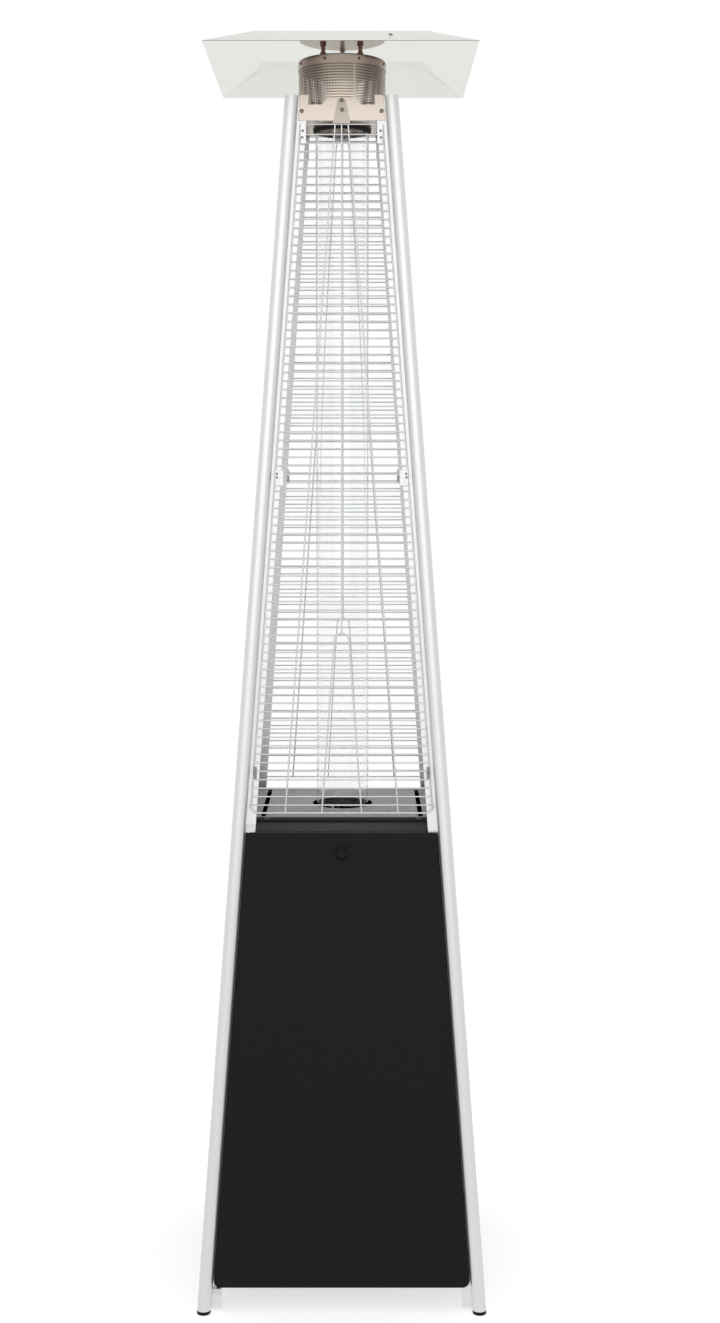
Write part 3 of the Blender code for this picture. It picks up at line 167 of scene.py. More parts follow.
def half_span(height):
    """Distance of the posts' centrelines from the axis along X, and along Y, at a height."""
    return sizes().base_half_span - lean() * height


def on_face(x, depth, height):
    """A point of the front side: x across it, depth inwards from the plane of the post centrelines."""
    return Vector((x, depth - half_span(height), height))


def upright_share():
    """Cosine of the angle by which the sides lean."""
    return math.cos(math.atan(lean()))


def place_on(across, normal, origin):
    """A place with its X across and its Z along a surface's normal."""
    matrix = Matrix((across, normal.cross(across), normal)).transposed().to_4x4()
    matrix.translation = origin
    return matrix


def face_frame(x, depth, height):
    """A place on the front side: its X across, its Y up along the side and its Z outwards."""
    outwards = Vector((0, -upright_share(), math.sin(math.atan(lean()))))
    return place_on(Vector((1, 0, 0)), outwards, on_face(x, depth, height))


def quarter_turn(quarter):
    return Matrix.Rotation(quarter * math.pi / 2, 4, "Z")


def all_sides(places):
    """The given places of the front side, on all four sides."""
    return [quarter_turn(quarter) @ place for quarter in range(4) for place in places]


def row_depth():
    """Depth of the cross wires' centrelines, just in front of the flanges."""
    return sizes().flange_depth - sizes().clearance - PACKED_WIRE / 2


def hairpin_depth():
    """Depth of the hairpins' centrelines, in front of the cross wires."""
    return row_depth() - PACKED_WIRE - sizes().clearance


def clip_depth():
    """Depth of the clips' backs, on the front of the cross wires."""
    return row_depth() - PACKED_WIRE / 2 - sizes().clearance


def row_heights():
    """Heights of the cross wires' centrelines, from the foot to the top."""
    start = ROWS_LOW + PACKED_WIRE / 2
    return [start + sizes().row_pitch * i for i in range(sizes().rows)] + [ROWS_HIGH - PACKED_WIRE / 2]


def guard_half_width(height):
    """Half the width of a guard over its side rails."""
    return half_span(height) - sizes().guard_edge


def knob_place():
    """The knob's frame: its origin on the back of the door's sheet, its Z outwards."""
    return face_frame(0, 0, PANEL_HIGH - sizes().knob_below)


# Shapes

def strip(first, second):
    """Faces between two closed rings of point numbers."""
    pairs = list(zip(first, second))
    return [(a, c, d, b) for (a, b), (c, d) in zip(pairs, pairs[1:] + pairs[:1])]


def loft(loops, capped=True):
    """Points and faces of a body through loops of equal length."""
    count = len(loops[0])
    rings = [range(i * count, (i + 1) * count) for i in range(len(loops))]
    faces = [face for low, high in zip(rings, rings[1:]) for face in strip(low, high)]
    if capped:
        faces += [tuple(rings[0]), tuple(rings[-1])]
    return [point for loop in loops for point in loop], faces


def circle(radius, height=0.0, segments=64, centre=(0, 0)):
    """A level ring of points."""
    turns = [math.tau * i / segments for i in range(segments)]
    return [Vector((centre[0] + radius * math.cos(t), centre[1] + radius * math.sin(t), height)) for t in turns]


def turned(profile, segments=64, capped=True, centre=(0, 0)):
    """A profile of (radius, height) pairs turned about an upright axis, with its ends capped or else a closed one."""
    loops = [circle(radius, height, segments, centre) for radius, height in profile]
    if capped:
        return loft(loops)
    points, faces = loft(loops, capped=False)
    return points, faces + strip(range(len(points) - segments, len(points)), range(segments))


def rounded_outline(corners, radii, inset=0.0, segments=5):
    """A convex outline, anticlockwise, drawn in by an inset and with its corners turned at their radii."""
    edges = []
    for i, corner in enumerate(corners):
        start = Vector(corner)
        along = (Vector(corners[(i + 1) % len(corners)]) - start).normalized()
        edges.append((start + Vector((-along.y, along.x)) * inset, along))
    points = []
    for i, radius in enumerate(radii):
        (first, before), (second, after) = edges[i - 1], edges[i]
        corner = first + before * ((second - first).cross(after) / before.cross(after))
        turn = math.atan2(before.cross(after), before.dot(after))
        arm_length = max(radius - inset, 0.0001)
        arm = Vector((before.y, -before.x)) * arm_length
        centre = corner - before * (arm_length * math.tan(turn / 2)) - arm
        points += [centre + Matrix.Rotation(turn * step / segments, 2) @ arm for step in range(segments + 1)]
    return points


def four_corners(left, right, low, high):
    """A rectangle's corners, anticlockwise."""
    return (left, low), (right, low), (right, high), (left, high)


def rounded_rectangle(left, right, low, high, radius, inset=0.0, segments=5):
    """A rectangle's outline with its corners turned at one radius."""
    return rounded_outline(four_corners(left, right, low, high), [radius] * 4, inset, segments)


def at_height(outline, height):
    """An outline of x and y, laid level at a height."""
    return [Vector((point[0], point[1], height)) for point in outline]


def on_side(outline, depth):
    """An outline of x and height, laid on the front side at a depth."""
    return [on_face(point[0], depth, point[1]) for point in outline]


def about_knob(outline, reach):
    """An outline about the knob's axis, at a reach from the back of the door's sheet."""
    place = knob_place()
    return [place @ point for point in at_height(outline, reach)]


def soft_corner(radius, segments=4):
    """A quarter circle from a side to a top, as how far each point lies in from the side and down from the top."""
    turns = [math.pi / 2 * i / segments for i in range(segments + 1)]
    return [(radius * (1 - math.cos(t)), radius * (1 - math.sin(t))) for t in turns]


def bent_path(points, radius, segments=5):
    """An open path through points with its inner corners turned at a radius."""
    points = [Vector(p) for p in points]
    path = [points[0]]
    for before, corner, after in zip(points, points[1:], points[2:]):
        back, onward = (before - corner).normalized(), (after - corner).normalized()
        half = back.angle(onward) / 2
        reach = radius / math.tan(half)
        centre = corner + (back + onward).normalized() * (radius / math.sin(half))
        start, end = corner + back * reach - centre, corner + onward * reach - centre
        path += [centre + start.slerp(end, step / segments) * radius for step in range(segments + 1)]
    return path + [points[-1]]


def holed_body(loops, holes):
    """A body through loops. Each hole is a ring in the first loop's face and a ring in the last one's."""
    points, faces = loft(loops, capped=False)
    count = len(loops[0])
    ends = [[range(count)], [range(len(points) - count, len(points))]]
    for rings in holes:
        start, sides = len(points), len(rings[0])
        points += rings[0] + rings[1]
        numbers = [range(start, start + sides), range(start + sides, start + 2 * sides)]
        faces += strip(*numbers)
        for end, ring in zip(ends, numbers):
            end.append(ring)
    for rings in ends:
        numbers = [number for ring in rings for number in ring]
        triangles = tessellate_polygon([[points[number] for number in ring] for ring in rings])
        faces += [tuple(numbers[i] for i in triangle) for triangle in triangles]
    return points, faces


def folded_sheet(corners, radii, sheet, fold, edge, laid, holes):
    """A holed sheet with its edge folded down. laid puts an outline at a distance below the sheet's upper face."""
    outside = [(down, inset) for inset, down in soft_corner(fold)]
    inside = [(sheet + down, sheet + inset) for inset, down in reversed(soft_corner(fold - sheet))]
    profile = outside + [(0, edge), (sheet, edge)] + inside
    return holed_body([laid(rounded_outline(corners, radii, inset), below) for inset, below in profile], holes)


def join(bodies):
    """Several (points, faces) bodies as one."""
    points, faces = [], []
    for body_points, body_faces in bodies:
        faces += [tuple(i + len(points) for i in face) for face in body_faces]
        points += body_points
    return points, faces


def moved(body, matrix):
    """A (points, faces) body at another place."""
    return [matrix @ Vector(point) for point in body[0]], body[1]


def repeated(body, places):
    """Copies of a body at places, as one body."""
    return join([moved(body, place) for place in places])


# Objects

def add_object(name, data):
    """An object of the scene."""
    piece = bpy.data.objects.new(name, data)
    bpy.context.scene.collection.objects.link(piece)
    return piece


def make_mesh(name, body, sharp_angle=SHARP_ANGLE):
    """A mesh object from (points, faces), with its normals outwards and its soft edges smooth."""
    mesh = bpy.data.meshes.new(name)
    mesh.from_pydata([tuple(point) for point in body[0]], [], body[1])
    work = bmesh.new()
    work.from_mesh(mesh)
    bmesh.ops.recalc_face_normals(work, faces=work.faces)
    work.to_mesh(mesh)
    work.free()
    mesh.shade_smooth()
    mesh.set_sharp_from_angle(angle=math.radians(sharp_angle))
    return add_object(name, mesh)


def cut(piece, tool_body):
    """Cuts a body out of a piece."""
    tool = make_mesh("cutter", tool_body)
    modifier = piece.modifiers.new("cut", "BOOLEAN")
    modifier.object = tool
    modifier.operation = "DIFFERENCE"
    modifier.solver = "EXACT"
    bpy.context.view_layer.update()
    piece.data = bpy.data.meshes.new_from_object(piece.evaluated_get(bpy.context.evaluated_depsgraph_get()))
    piece.modifiers.clear()
    piece.data.set_sharp_from_angle(angle=math.radians(SHARP_ANGLE))
    bpy.data.objects.remove(tool)


def make_wires(name, paths, diameter):
    """Round wires along paths, as one curve with closed ends."""
    curve = bpy.data.curves.new(name, "CURVE")
    curve.dimensions = "3D"
    curve.bevel_depth = diameter / 2
    curve.bevel_resolution = 2
    curve.use_fill_caps = True
    for path in paths:
        spline = curve.splines.new("POLY")
        spline.points.add(len(path) - 1)
        for point, place in zip(spline.points, path):
            point.co = (*place, 1.0)
        spline.use_smooth = True
    return add_object(name, curve)


def dress(piece, material, stands_for=(), body="heater"):
    """Gives a piece its finish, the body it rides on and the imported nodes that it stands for."""
    piece.data.materials.clear()
    piece.data.materials.append(material)
    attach(piece, body)
    if stands_for:
        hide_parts(*stands_for)


def dress_turned(piece, quarter, material, stands_for):
    """Turns a new piece about the axis, in its mesh or curve, and dresses it."""
    piece.data.transform(quarter_turn(quarter))
    dress(piece, material, stands_for)


def add_four(name, body, ends, material, node, sharp_angle=SHARP_ANGLE):
    """The same piece at the four sides or corners, each for its own node."""
    for quarter, end in enumerate(ends):
        dress_turned(make_mesh(name + end, body, sharp_angle), quarter, material, [node + end])


def screw_body(radius):
    """A pan-head screw with a cross recess, its underside at the origin and its head along Z."""
    rise = radius * 0.62
    dome = ((1, 0), (1, 0.35), (0.93, 0.66), (0.72, 0.90), (0.40, 1))
    head = make_mesh("screw_head", turned([(radius * x, rise * z) for x, z in dome], 24))
    arm, half = radius * 0.58, radius * 0.11
    for x, y in ((arm, half), (half, arm)):
        cut(head, loft([at_height(four_corners(-x, x, -y, y), z) for z in (rise * 0.45, rise * 1.4)]))
    body = [vertex.co.copy() for vertex in head.data.vertices], [tuple(face.vertices) for face in head.data.polygons]
    bpy.data.objects.remove(head)
    return body


def add_screws(name, radius, places, material):
    """Screws at places, as one piece."""
    dress(make_mesh(name, repeated(screw_body(radius), places)), material)


# Finishes

def add_node(tree, kind, settings, feeds=None, output=0):
    """A node with its settings, by attribute or socket, and the (node, socket) that its output feeds.

    A setting that is a node, or a node and its output, is a link from there.
    """
    node = tree.nodes.new("ShaderNode" + kind)
    for key, value in settings.items():
        source, source_output = value if isinstance(value, tuple) and len(value) == 2 else (value, 0)
        if isinstance(source, bpy.types.Node):
            tree.links.new(source.outputs[source_output], node.inputs[key])
        elif isinstance(key, str) and hasattr(node, key):
            setattr(node, key, value)
        else:
            node.inputs[key].default_value = value
    if feeds:
        tree.links.new(node.outputs[output], feeds[0].inputs[feeds[1]])
    return node


def new_finish(name, settings):
    """A new material with its Principled shader set, the function that adds nodes to it, and that shader."""
    material = bpy.data.materials.new(name)
    material.use_nodes = True
    shader = material.node_tree.nodes["Principled BSDF"]
    for socket, value in settings.items():
        shader.inputs[socket].default_value = value
    return material, partial(add_node, material.node_tree), shader


def grains(*millimetres):
    """The scale that gives a pattern grains of these sizes along X, Y and Z."""
    return [1000 / size for size in millimetres]


def shade(base, factor):
    """A colour made darker or lighter by a factor."""
    return [min(channel * factor, 1.0) for channel in base[:3]] + [1.0]


# The finishes with one noise, by the name of the material: the shader's settings, the noise's grain in millimetres
# along X, Y and Z, the roughness, the relief as strength and metres, and the two tints, given by their hex colours
# or by a colour of the sidebar and two factors
FINISHES = {
    # Extruded aluminium, anodised: a soft satin gleam drawn out along the die lines. They are about 0.2 mm apart,
    # and 2 mm is what shows
    "anodised_extrusion": ({"Metallic": 1.0}, (2, 2, 900), (0.36, 0.44), (0.03, 0.0002), ("posts", 0.97, 1.02)),
    # Powder coat, baked: an even satin black with the faint relief of orange peel. Its dimples are about 1.5 mm,
    # and 2.5 mm is what shows
    "black_powder_coat_baked": ({"Specular IOR Level": 0.15}, (2.5, 2.5, 2.5), (0.36, 0.44), (0.12, 0.0002),
                                ("cladding", 0.92, 1.10)),
    # Powder coat of the burner box: closer and glossier than the cladding's, with a grey sheen
    "black_powder_coat_close": ({"Specular IOR Level": 0.42}, (4, 4, 4), (0.30, 0.38), (0.08, 0.0002),
                                ("cladding", 0.92, 1.10)),
    # Zinc-plated sheet: a dull grey sheen with soft cloudy patches
    "zinc_plated_sheet": ({"Metallic": 0.85}, (22, 22, 22), (0.36, 0.48), (0.05, 0.0003), ("deck", 0.90, 1.08)),
    # Bright zinc-plated wire: it picks up white from all sides, with a slightly uneven plating
    "bright_plated_wire": ({"Metallic": 1.0}, (4, 4, 4), (0.18, 0.30), (0.10, 0.0002), ("wires", 0.92, 1.04)),
    # Stainless sheet, brushed: warm, with level brush lines that spread the highlights upwards. They are about
    # 0.1 mm apart, and 0.8 mm is what shows
    "brushed_stainless": ({"Metallic": 1.0}, (60, 60, 0.8), (0.26, 0.34), (0.02, 0.0002), ("top_frame", 0.97, 1.02)),
    # Stainless sheet of the hook plates: a little darker and pinker than the frame's
    "warmed_stainless": ({"Metallic": 1.0}, (50, 50, 1.0), (0.30, 0.44), (0.06, 0.0002), ("top_frame", 0.88, 0.98)),
    # Plain steel, burnt brown
    "scorched_steel": ({"Metallic": 0.8}, (6, 6, 6), (0.45, 0.60), None, ("6A4A3E", "8A6859")),
    # Clear quartz glass: colourless, and it shows mainly as grey lines at its edges
    "clear_quartz_glass": ({"Base Color": linear("FDFEFE"), "Transmission Weight": 1.0, "IOR": 1.46},
                           (150, 150, 150), (0.0, 0.008), None, None),
    # Silicone rubber, moulded: matt black with a powdery bloom
    "moulded_silicone": ({"Specular IOR Level": 0.3}, (3, 3, 3), (0.62, 0.78), (0.1, 0.0001), ("242323", "33302F")),
    # Glass-filled nylon, moulded: a close satin black with a fine spark-eroded texture
    "moulded_black_nylon": ({"Specular IOR Level": 0.15}, (0.8, 0.8, 0.8), (0.32, 0.44), (0.15, 0.0001),
                            ("plastic", 0.85, 1.25)),
    # Machined brass: yellow, with fine turning marks
    "machined_brass": ({"Metallic": 1.0}, (1.2, 1.2, 1.2), (0.24, 0.38), (0.05, 0.0001), ("B0924F", "C4A563")),
    # Glazed ceramic: ivory, with a smooth glaze
    "glazed_ceramic": ({"IOR": 1.5, "Coat Weight": 0.4}, (5, 5, 5), (0.22, 0.34), None, ("E3DFD3", "EFEBE1")),
    # Sheet steel under the flame: nearly black, partly from soot and partly as painted shade for the dark inside of the
    # deck's hole; matt, a little brown where it is bare
    "sooty_sheet_steel": ({"Specular IOR Level": 0.02}, (8, 8, 8), (0.75, 0.90), None, ("100F0F", "1E1B19")),
    # Nickel-plated screw: a darker, harder gleam than the sheet round it
    "nickel_plated_screw": ({"Metallic": 1.0}, (2, 2, 2), (0.24, 0.36), None, ("6E6762", "8C857F")),
}


def finish(name):
    """A finish of the table, whose roughness, relief and colour follow one noise."""
    if name in bpy.data.materials:
        return bpy.data.materials[name]
    settings, grain, roughness, relief, tints = FINISHES[name]
    material, add, shader = new_finish(name, settings)
    place = add("TexCoord", {})
    drawn = add("Mapping", {"Scale": grains(*grain), "Vector": (place, "Object")})
    noise = add("TexNoise", {"Scale": 1.0, "Detail": 3.0, "Vector": drawn})
    add("MapRange", {"From Min": 0.3, "From Max": 0.7, "To Min": roughness[0], "To Max": roughness[1],
                                "Value": noise}, (shader, "Roughness"))
    if relief:
        add("Bump", {"Strength": relief[0], "Distance": relief[1], "Height": noise},
                 (shader, "Normal"))
    if tints:
        base = getattr(colours(), tints[0], None)
        dark, light = [shade(base, factor) for factor in tints[1:]] if base else [linear(tint) for tint in tints]
        add("Mix", {"data_type": "RGBA", 6: dark, 7: light, 0: noise}, (shader, "Base Color"), 2)
    return material


def polished_aluminium():
    """Aluminium sheet, polished below to nearly a mirror with faint waves, and left satin from the mill above."""
    base = colours().reflector
    material, add, shader = new_finish("polished_aluminium_sheet", {"Metallic": 1.0})
    place = add("TexCoord", {})
    waves = add("TexNoise", {"Scale": 1000 / 166.667, "Detail": 2.0, "Vector": (place, "Object")})
    # Rolling marks are about 0.1 mm apart, and 1.25 mm is what shows
    drawn = add("Mapping", {"Scale": grains(500, 1.25, 1.25), "Vector": (place, "Object")})
    marks = add("TexNoise", {"Scale": 1.0, "Detail": 2.0, "Vector": drawn})
    face = add("NewGeometry", {})
    parts = add("SeparateXYZ", {"Vector": (face, "True Normal")})
    above = add("Math", {"operation": "GREATER_THAN", 1: 0.2, 0: (parts, "Z")})
    satin = add("Mix", {"data_type": "RGBA", 6: shade(base, 0.76), 7: shade(base, 0.82),
                                   0: marks})
    bright = add("Mix", {"data_type": "RGBA", 6: shade(base, 0.98), 7: shade(base, 1.01),
                                    0: waves})
    faces = add("Mix", {"data_type": "RGBA", 0: above, 6: (bright, 2), 7: (satin, 2)})
    # The sheet's cut edge, whose faces look sideways, is painted dark: painted shade along the rim
    upright = add("Math", {"operation": "ABSOLUTE", 0: (parts, "Z")})
    edge = add("Math", {"operation": "LESS_THAN", 1: 0.2, 0: upright})
    add("Mix", {"data_type": "RGBA", 7: shade(base, 0.22), 0: edge, 6: (faces, 2)},
             (shader, "Base Color"), 2)
    add("MapRange", {"To Min": 0.06, "To Max": 0.34, "Value": above},
             (shader, "Roughness"))
    add("Bump", {"Strength": 0.10, "Distance": 0.0006, "Height": waves},
             (shader, "Normal"))
    return material


def tempered_steel():
    """Stainless steel after heat: pale cream low down, partly heat tint and partly a painted reflection, olive brown in
    the middle and brown with pink at the lid. A painted highlight lies on the middle of each side, a painted dark
    reflection on the lid's shoulder and painted light on its top.
    """
    material, add, shader = new_finish("heat_tinted_stainless", {"Metallic": 0.75})
    base = colours().emitter
    place = add("TexCoord", {})
    drawn = add("Mapping", {"Scale": grains(55.556, 55.556, 25), "Vector": (place, "Object")})
    noise = add("TexNoise", {"Scale": 1.0, "Detail": 4.0, "Vector": drawn})
    parts = add("SeparateXYZ", {"Vector": (place, "Object")})
    level = add("MapRange", {"From Min": DRUM_LOW.z, "From Max": LID_HIGH.z, "Value": (parts, "Z")})
    uneven = add("Math", {"operation": "MULTIPLY_ADD", 1: 0.25, 2: -0.12, 0: noise})
    height = add("Math", {"operation": "ADD", 0: level, 1: uneven})
    # The ramp runs from pale cream at the foot to dark brown at the lid's top edge. The pale foot is partly heat tint
    # and partly a painted reflection. The dark brown stop near the top is a painted dark reflection along the lid's
    # rounded shoulder.
    tints = add("ValToRGB", {"Fac": height})
    stops = tints.color_ramp.elements
    stops[0].color = linear("D2C1B2")
    stops[1].position, stops[1].color = 0.985, linear("4E3B33")
    for position, tint in ((0.94, linear("94827A")), (0.30, shade(base, 1.35)), (0.55, base),
                           (0.80, shade(base, 0.85))):
        stops.new(position).color = tint
    # The middle of each side is painted pale cream, and most so low down: a painted highlight
    across = [add("Math", {"operation": "ABSOLUTE", 0: (parts, axis)}) for axis in "XY"]
    nearest = add("Math", {"operation": "MAXIMUM", 0: across[0], 1: across[1]})
    side_middle_highlight = add("MapRange", {"interpolation_type": "SMOOTHSTEP", "From Min": 0.80 * DRUM_HIGH.x,
                                       "From Max": 1.01 * DRUM_HIGH.x, "Value": nearest})
    highlight_by_height = add("MapRange", {"To Min": 0.96, "To Max": 0.34, "Value": height})
    painted_highlight = add("Math", {"operation": "MULTIPLY", 0: side_middle_highlight, 1: highlight_by_height})
    highlighted_tints = add("Mix", {"data_type": "RGBA", 7: linear("EADDCB"), 0: painted_highlight,
                                    6: tints})
    # The faces of the lid that look straight up are painted pale: painted light on its top
    face = add("NewGeometry", {})
    facing = add("SeparateXYZ", {"Vector": (face, "True Normal")})
    flat = add("Math", {"operation": "GREATER_THAN", 1: 0.95, 0: (facing, "Z")})
    add("Mix", {"data_type": "RGBA", 7: linear("D0C2BA"), 0: flat, 6: (highlighted_tints, 2)},
             (shader, "Base Color"), 2)
    add("MapRange", {"To Min": 0.14, "To Max": 0.26, "Value": noise},
             (shader, "Roughness"))
    add("Bump", {"Strength": 0.06, "Distance": 0.0003, "Height": noise},
             (shader, "Normal"))
    return material


# Pieces

def post_outline(segments=56):
    """Outline of a post about its centreline: x and y point inwards along the two sides."""
    s = sizes()
    inner, outer, reach = s.flange_depth, s.flange_depth + s.flange_thickness, s.flange_reach
    edge, fillet = s.flange_thickness * 0.35, s.flange_thickness * 0.5
    meet = math.sqrt(s.tube_radius ** 2 - outer ** 2)
    start = math.atan2(outer, meet)
    sweep = math.tau - (start - math.atan2(meet, outer))
    turns = [start + sweep * i / segments for i in range(segments + 1)]
    points = [(s.tube_radius * math.cos(t), s.tube_radius * math.sin(t)) for t in turns]
    flange = [(outer + fillet, inner), (reach - edge, inner), (reach, inner + edge), (reach, outer - edge),
              (reach - edge, outer), (outer + fillet, outer)]
    return points + flange + [(outer + fillet * 0.3, outer + fillet * 0.3)] + [(y, x) for x, y in reversed(flange)]


def along_post(section, height):
    """A post section placed on the front left centreline at a height."""
    span = half_span(height)
    return [Vector((point[0] - span, point[1] - span, height)) for point in section]


class HEATER_OT_posts(bpy.types.Operator):
    """Four leaning posts, each a round tube with two flanges, open at the top"""
    bl_idname = "heater.posts"
    bl_label = "Posts"

    def execute(self, context):
        bore = circle(sizes().tube_radius - sizes().tube_wall, 0, 40)
        outer, inner = [[along_post(section, height) for height in (POST_FOOT + sizes().foot_cap, POST_TOP)]
                        for section in (post_outline(), bore)]
        add_four("post_tube_", holed_body(outer, [inner]), CORNERS, finish("anodised_extrusion"),
                 "post_", 30)
        return {"FINISHED"}


class HEATER_OT_feet(bpy.types.Operator):
    """A black pad under each post, with a plug in the tube's bore"""
    bl_idname = "heater.feet"
    bl_label = "Feet"

    def execute(self, context):
        s = sizes()
        plug, edge = s.tube_radius - s.tube_wall - s.clearance, 0.0008
        soft = edge * 0.3
        pad = POST_FOOT + s.foot_cap - s.clearance
        rings = ((s.tube_radius - edge, 0), (s.tube_radius - soft, soft), (s.tube_radius, edge),
                 (s.tube_radius, pad - soft), (s.tube_radius - soft, pad), (plug, pad), (plug, PLUG_TOP - edge),
                 (plug - edge, PLUG_TOP))
        body = loft([along_post(circle(radius, 0, 40), height) for radius, height in rings])
        add_four("foot_pad_", body, CORNERS, finish("moulded_black_nylon"), "foot_")
        return {"FINISHED"}


def cladding_body(return_depth, holes=()):
    """A folded tray between two posts, with holes given by their rings on the front and the back of the sheet."""
    s = sizes()
    gap = s.tube_radius + s.sheet
    low, high = half_span(PANEL_LOW) - gap, half_span(PANEL_HIGH) - gap
    corners = ((-low, PANEL_LOW), (low, PANEL_LOW), (high, PANEL_HIGH), (-high, PANEL_HIGH))
    radii = (s.cladding_corner, s.cladding_corner, s.fold_radius, s.fold_radius)
    return folded_sheet(corners, radii, s.sheet, s.fold_radius, s.sheet + return_depth,
                        lambda outline, below: on_side(outline, below - s.sheet), holes)


class HEATER_OT_cladding(bpy.types.Operator):
    """Door, two side panels and the rear panel: folded trays in black powder coat"""
    bl_idname = "heater.cladding"
    bl_label = "Cladding"

    def execute(self, context):
        s = sizes()
        coat = finish("black_powder_coat_baked")
        fold = s.flange_depth - s.clearance
        vent_drop, vent_pitch, vent_half, vent_height, vents = 0.150, 0.014, 0.0450, 0.0050, []
        for row in range(5):
            low = PANEL_HIGH - vent_drop - vent_pitch * row
            vent = rounded_rectangle(-vent_half, vent_half, low, low + vent_height, vent_height / 2 * ROUND_END, 0, 4)
            vents.append([on_side(vent, depth) for depth in (-s.sheet, 0)])
        for quarter, node, holes in ((1, "side_panel_right", ()), (3, "side_panel_left", ()), (2, "rear_panel", vents)):
            panel = make_mesh("cladding_" + SIDES[quarter], cladding_body(fold, holes))
            dress_turned(panel, quarter, coat, [node])
        knob_room = 0.0030
        knob_ring = circle(s.knob_radius + knob_room, 0, 48)
        knob_hole = [about_knob(knob_ring, reach) for reach in (s.sheet * upright_share(), 0)]
        door = make_mesh("door_panel", cladding_body(s.door_return, [knob_hole]))
        # Holes for the two pivot pins, through the folds at the top and the bottom
        pin_x, pin_depth, pin_radius = 0.0185, 0.0018, 0.0016
        for levels in ((PANEL_HIGH - 0.004, PANEL_HIGH + 0.004), (PANEL_LOW - 0.004, PANEL_LOW + 0.012)):
            places = [on_face(pin_x - half_span(height), pin_depth, height) for height in levels]
            cut(door, loft([circle(pin_radius, place.z, 16, place) for place in places]))
        dress(door, coat, ["front_panel"], "door")
        return {"FINISHED"}


def deck_holes(wider, levels):
    """The round hole for the flame tube and two long slots with round ends, each as a ring at every level."""
    tube_radius, slot_middle = 0.0570, 0.1450
    half_width, half_length = 0.00425 + wider, 0.1300 + wider
    outlines = [circle(tube_radius)]
    for middle in (-slot_middle, slot_middle):
        outlines.append(rounded_rectangle(middle - half_width, middle + half_width, -half_length, half_length,
                                          half_width * ROUND_END))
    return [[at_height(outline, height) for height in levels] for outline in outlines]


def shell_loops(inset):
    """Loops of the burner box from its open foot over its sloped shoulders to its flat top."""
    s = sizes()
    depth = s.flange_depth + s.flange_thickness + s.clearance + inset
    flat_edge, bend, corner = 0.010, 0.0030, 0.0040
    top, shoulder = SHELL_HIGH - inset, PANEL_HIGH - inset * math.tan(math.pi / 8)
    path = [(half_span(height) - depth, height) for height in (SHELL_LOW, shoulder)]
    path += [(DECK_HIGH.y, top), (DECK_HIGH.y - flat_edge, top)]
    loops = []
    for half_y, height in bent_path(path, bend - inset, 4):
        half_x = half_span(height) - depth
        loops.append(at_height(rounded_rectangle(-half_x, half_x, -half_y, half_y, corner - inset, 0, 3), height))
    return loops


class HEATER_OT_burner_box(bpy.types.Operator):
    """The black box under the deck, with the spindle's hole, slots and a bore in its top, and two upright lips"""
    bl_idname = "heater.burner_box"
    bl_label = "Burner box"

    def execute(self, context):
        coat = finish("black_powder_coat_close")
        slot_room, spindle_hole, screw_drop, screw = 0.0014, 0.0044, 0.0024, 0.0017
        outer, inner = shell_loops(0), shell_loops(SHELL_SHEET)
        holes = deck_holes(slot_room, (SHELL_HIGH - SHELL_SHEET, SHELL_HIGH))
        box = make_mesh("burner_shell", holed_body(inner[::-1] + outer, holes))
        reach = (sizes().flange_depth + sizes().flange_thickness) * upright_share()
        cut(box, loft([about_knob(circle(spindle_hole, 0, 24), out) for out in (-reach - 0.005, -reach + 0.004)]))
        dress(box, coat, ["burner_box"])
        half, gap, soft, corner, low = DECK_HIGH.x, 0.0003, 0.0005, 0.0080, SHELL_HIGH - 0.0030
        outline = rounded_outline(four_corners(-half, half, low, DECK_HIGH.z), [soft, soft, corner, corner])
        lip = loft([[Vector((p.x, -DECK_HIGH.y - depth, p.y)) for p in outline] for depth in (gap, gap + SHELL_SHEET)])
        lips = repeated(lip, [quarter_turn(0), quarter_turn(2)])
        dress(make_mesh("burner_shell_lips", lips), coat)
        places = []
        for x in (-0.1405, -0.1345, 0.1385, 0.1445):
            place = face_frame(x, 0, DECK_HIGH.z - screw_drop)
            place.translation.y = -DECK_HIGH.y - gap - SHELL_SHEET
            places.append(place)
        add_screws("burner_shell_screws", screw, places, finish("nickel_plated_screw"))
        return {"FINISHED"}


class HEATER_OT_deck(bpy.types.Operator):
    """The grey deck round the flame tube, with its turned-down edge and two long slots"""
    bl_idname = "heater.deck"
    bl_label = "Deck"

    def execute(self, context):
        fold, corner = 0.0016, 0.0080
        half_x, half_y, top = DECK_HIGH
        deck = folded_sheet(four_corners(-half_x, half_x, -half_y, half_y), [corner] * 4, SHEET, fold,
                            top - DECK_LOW.z, lambda outline, below: at_height(outline, top - below),
                            deck_holes(0, (top, top - SHEET)))
        dress(make_mesh("deck_plate", deck), finish("zinc_plated_sheet"), ["burner_deck"])
        return {"FINISHED"}


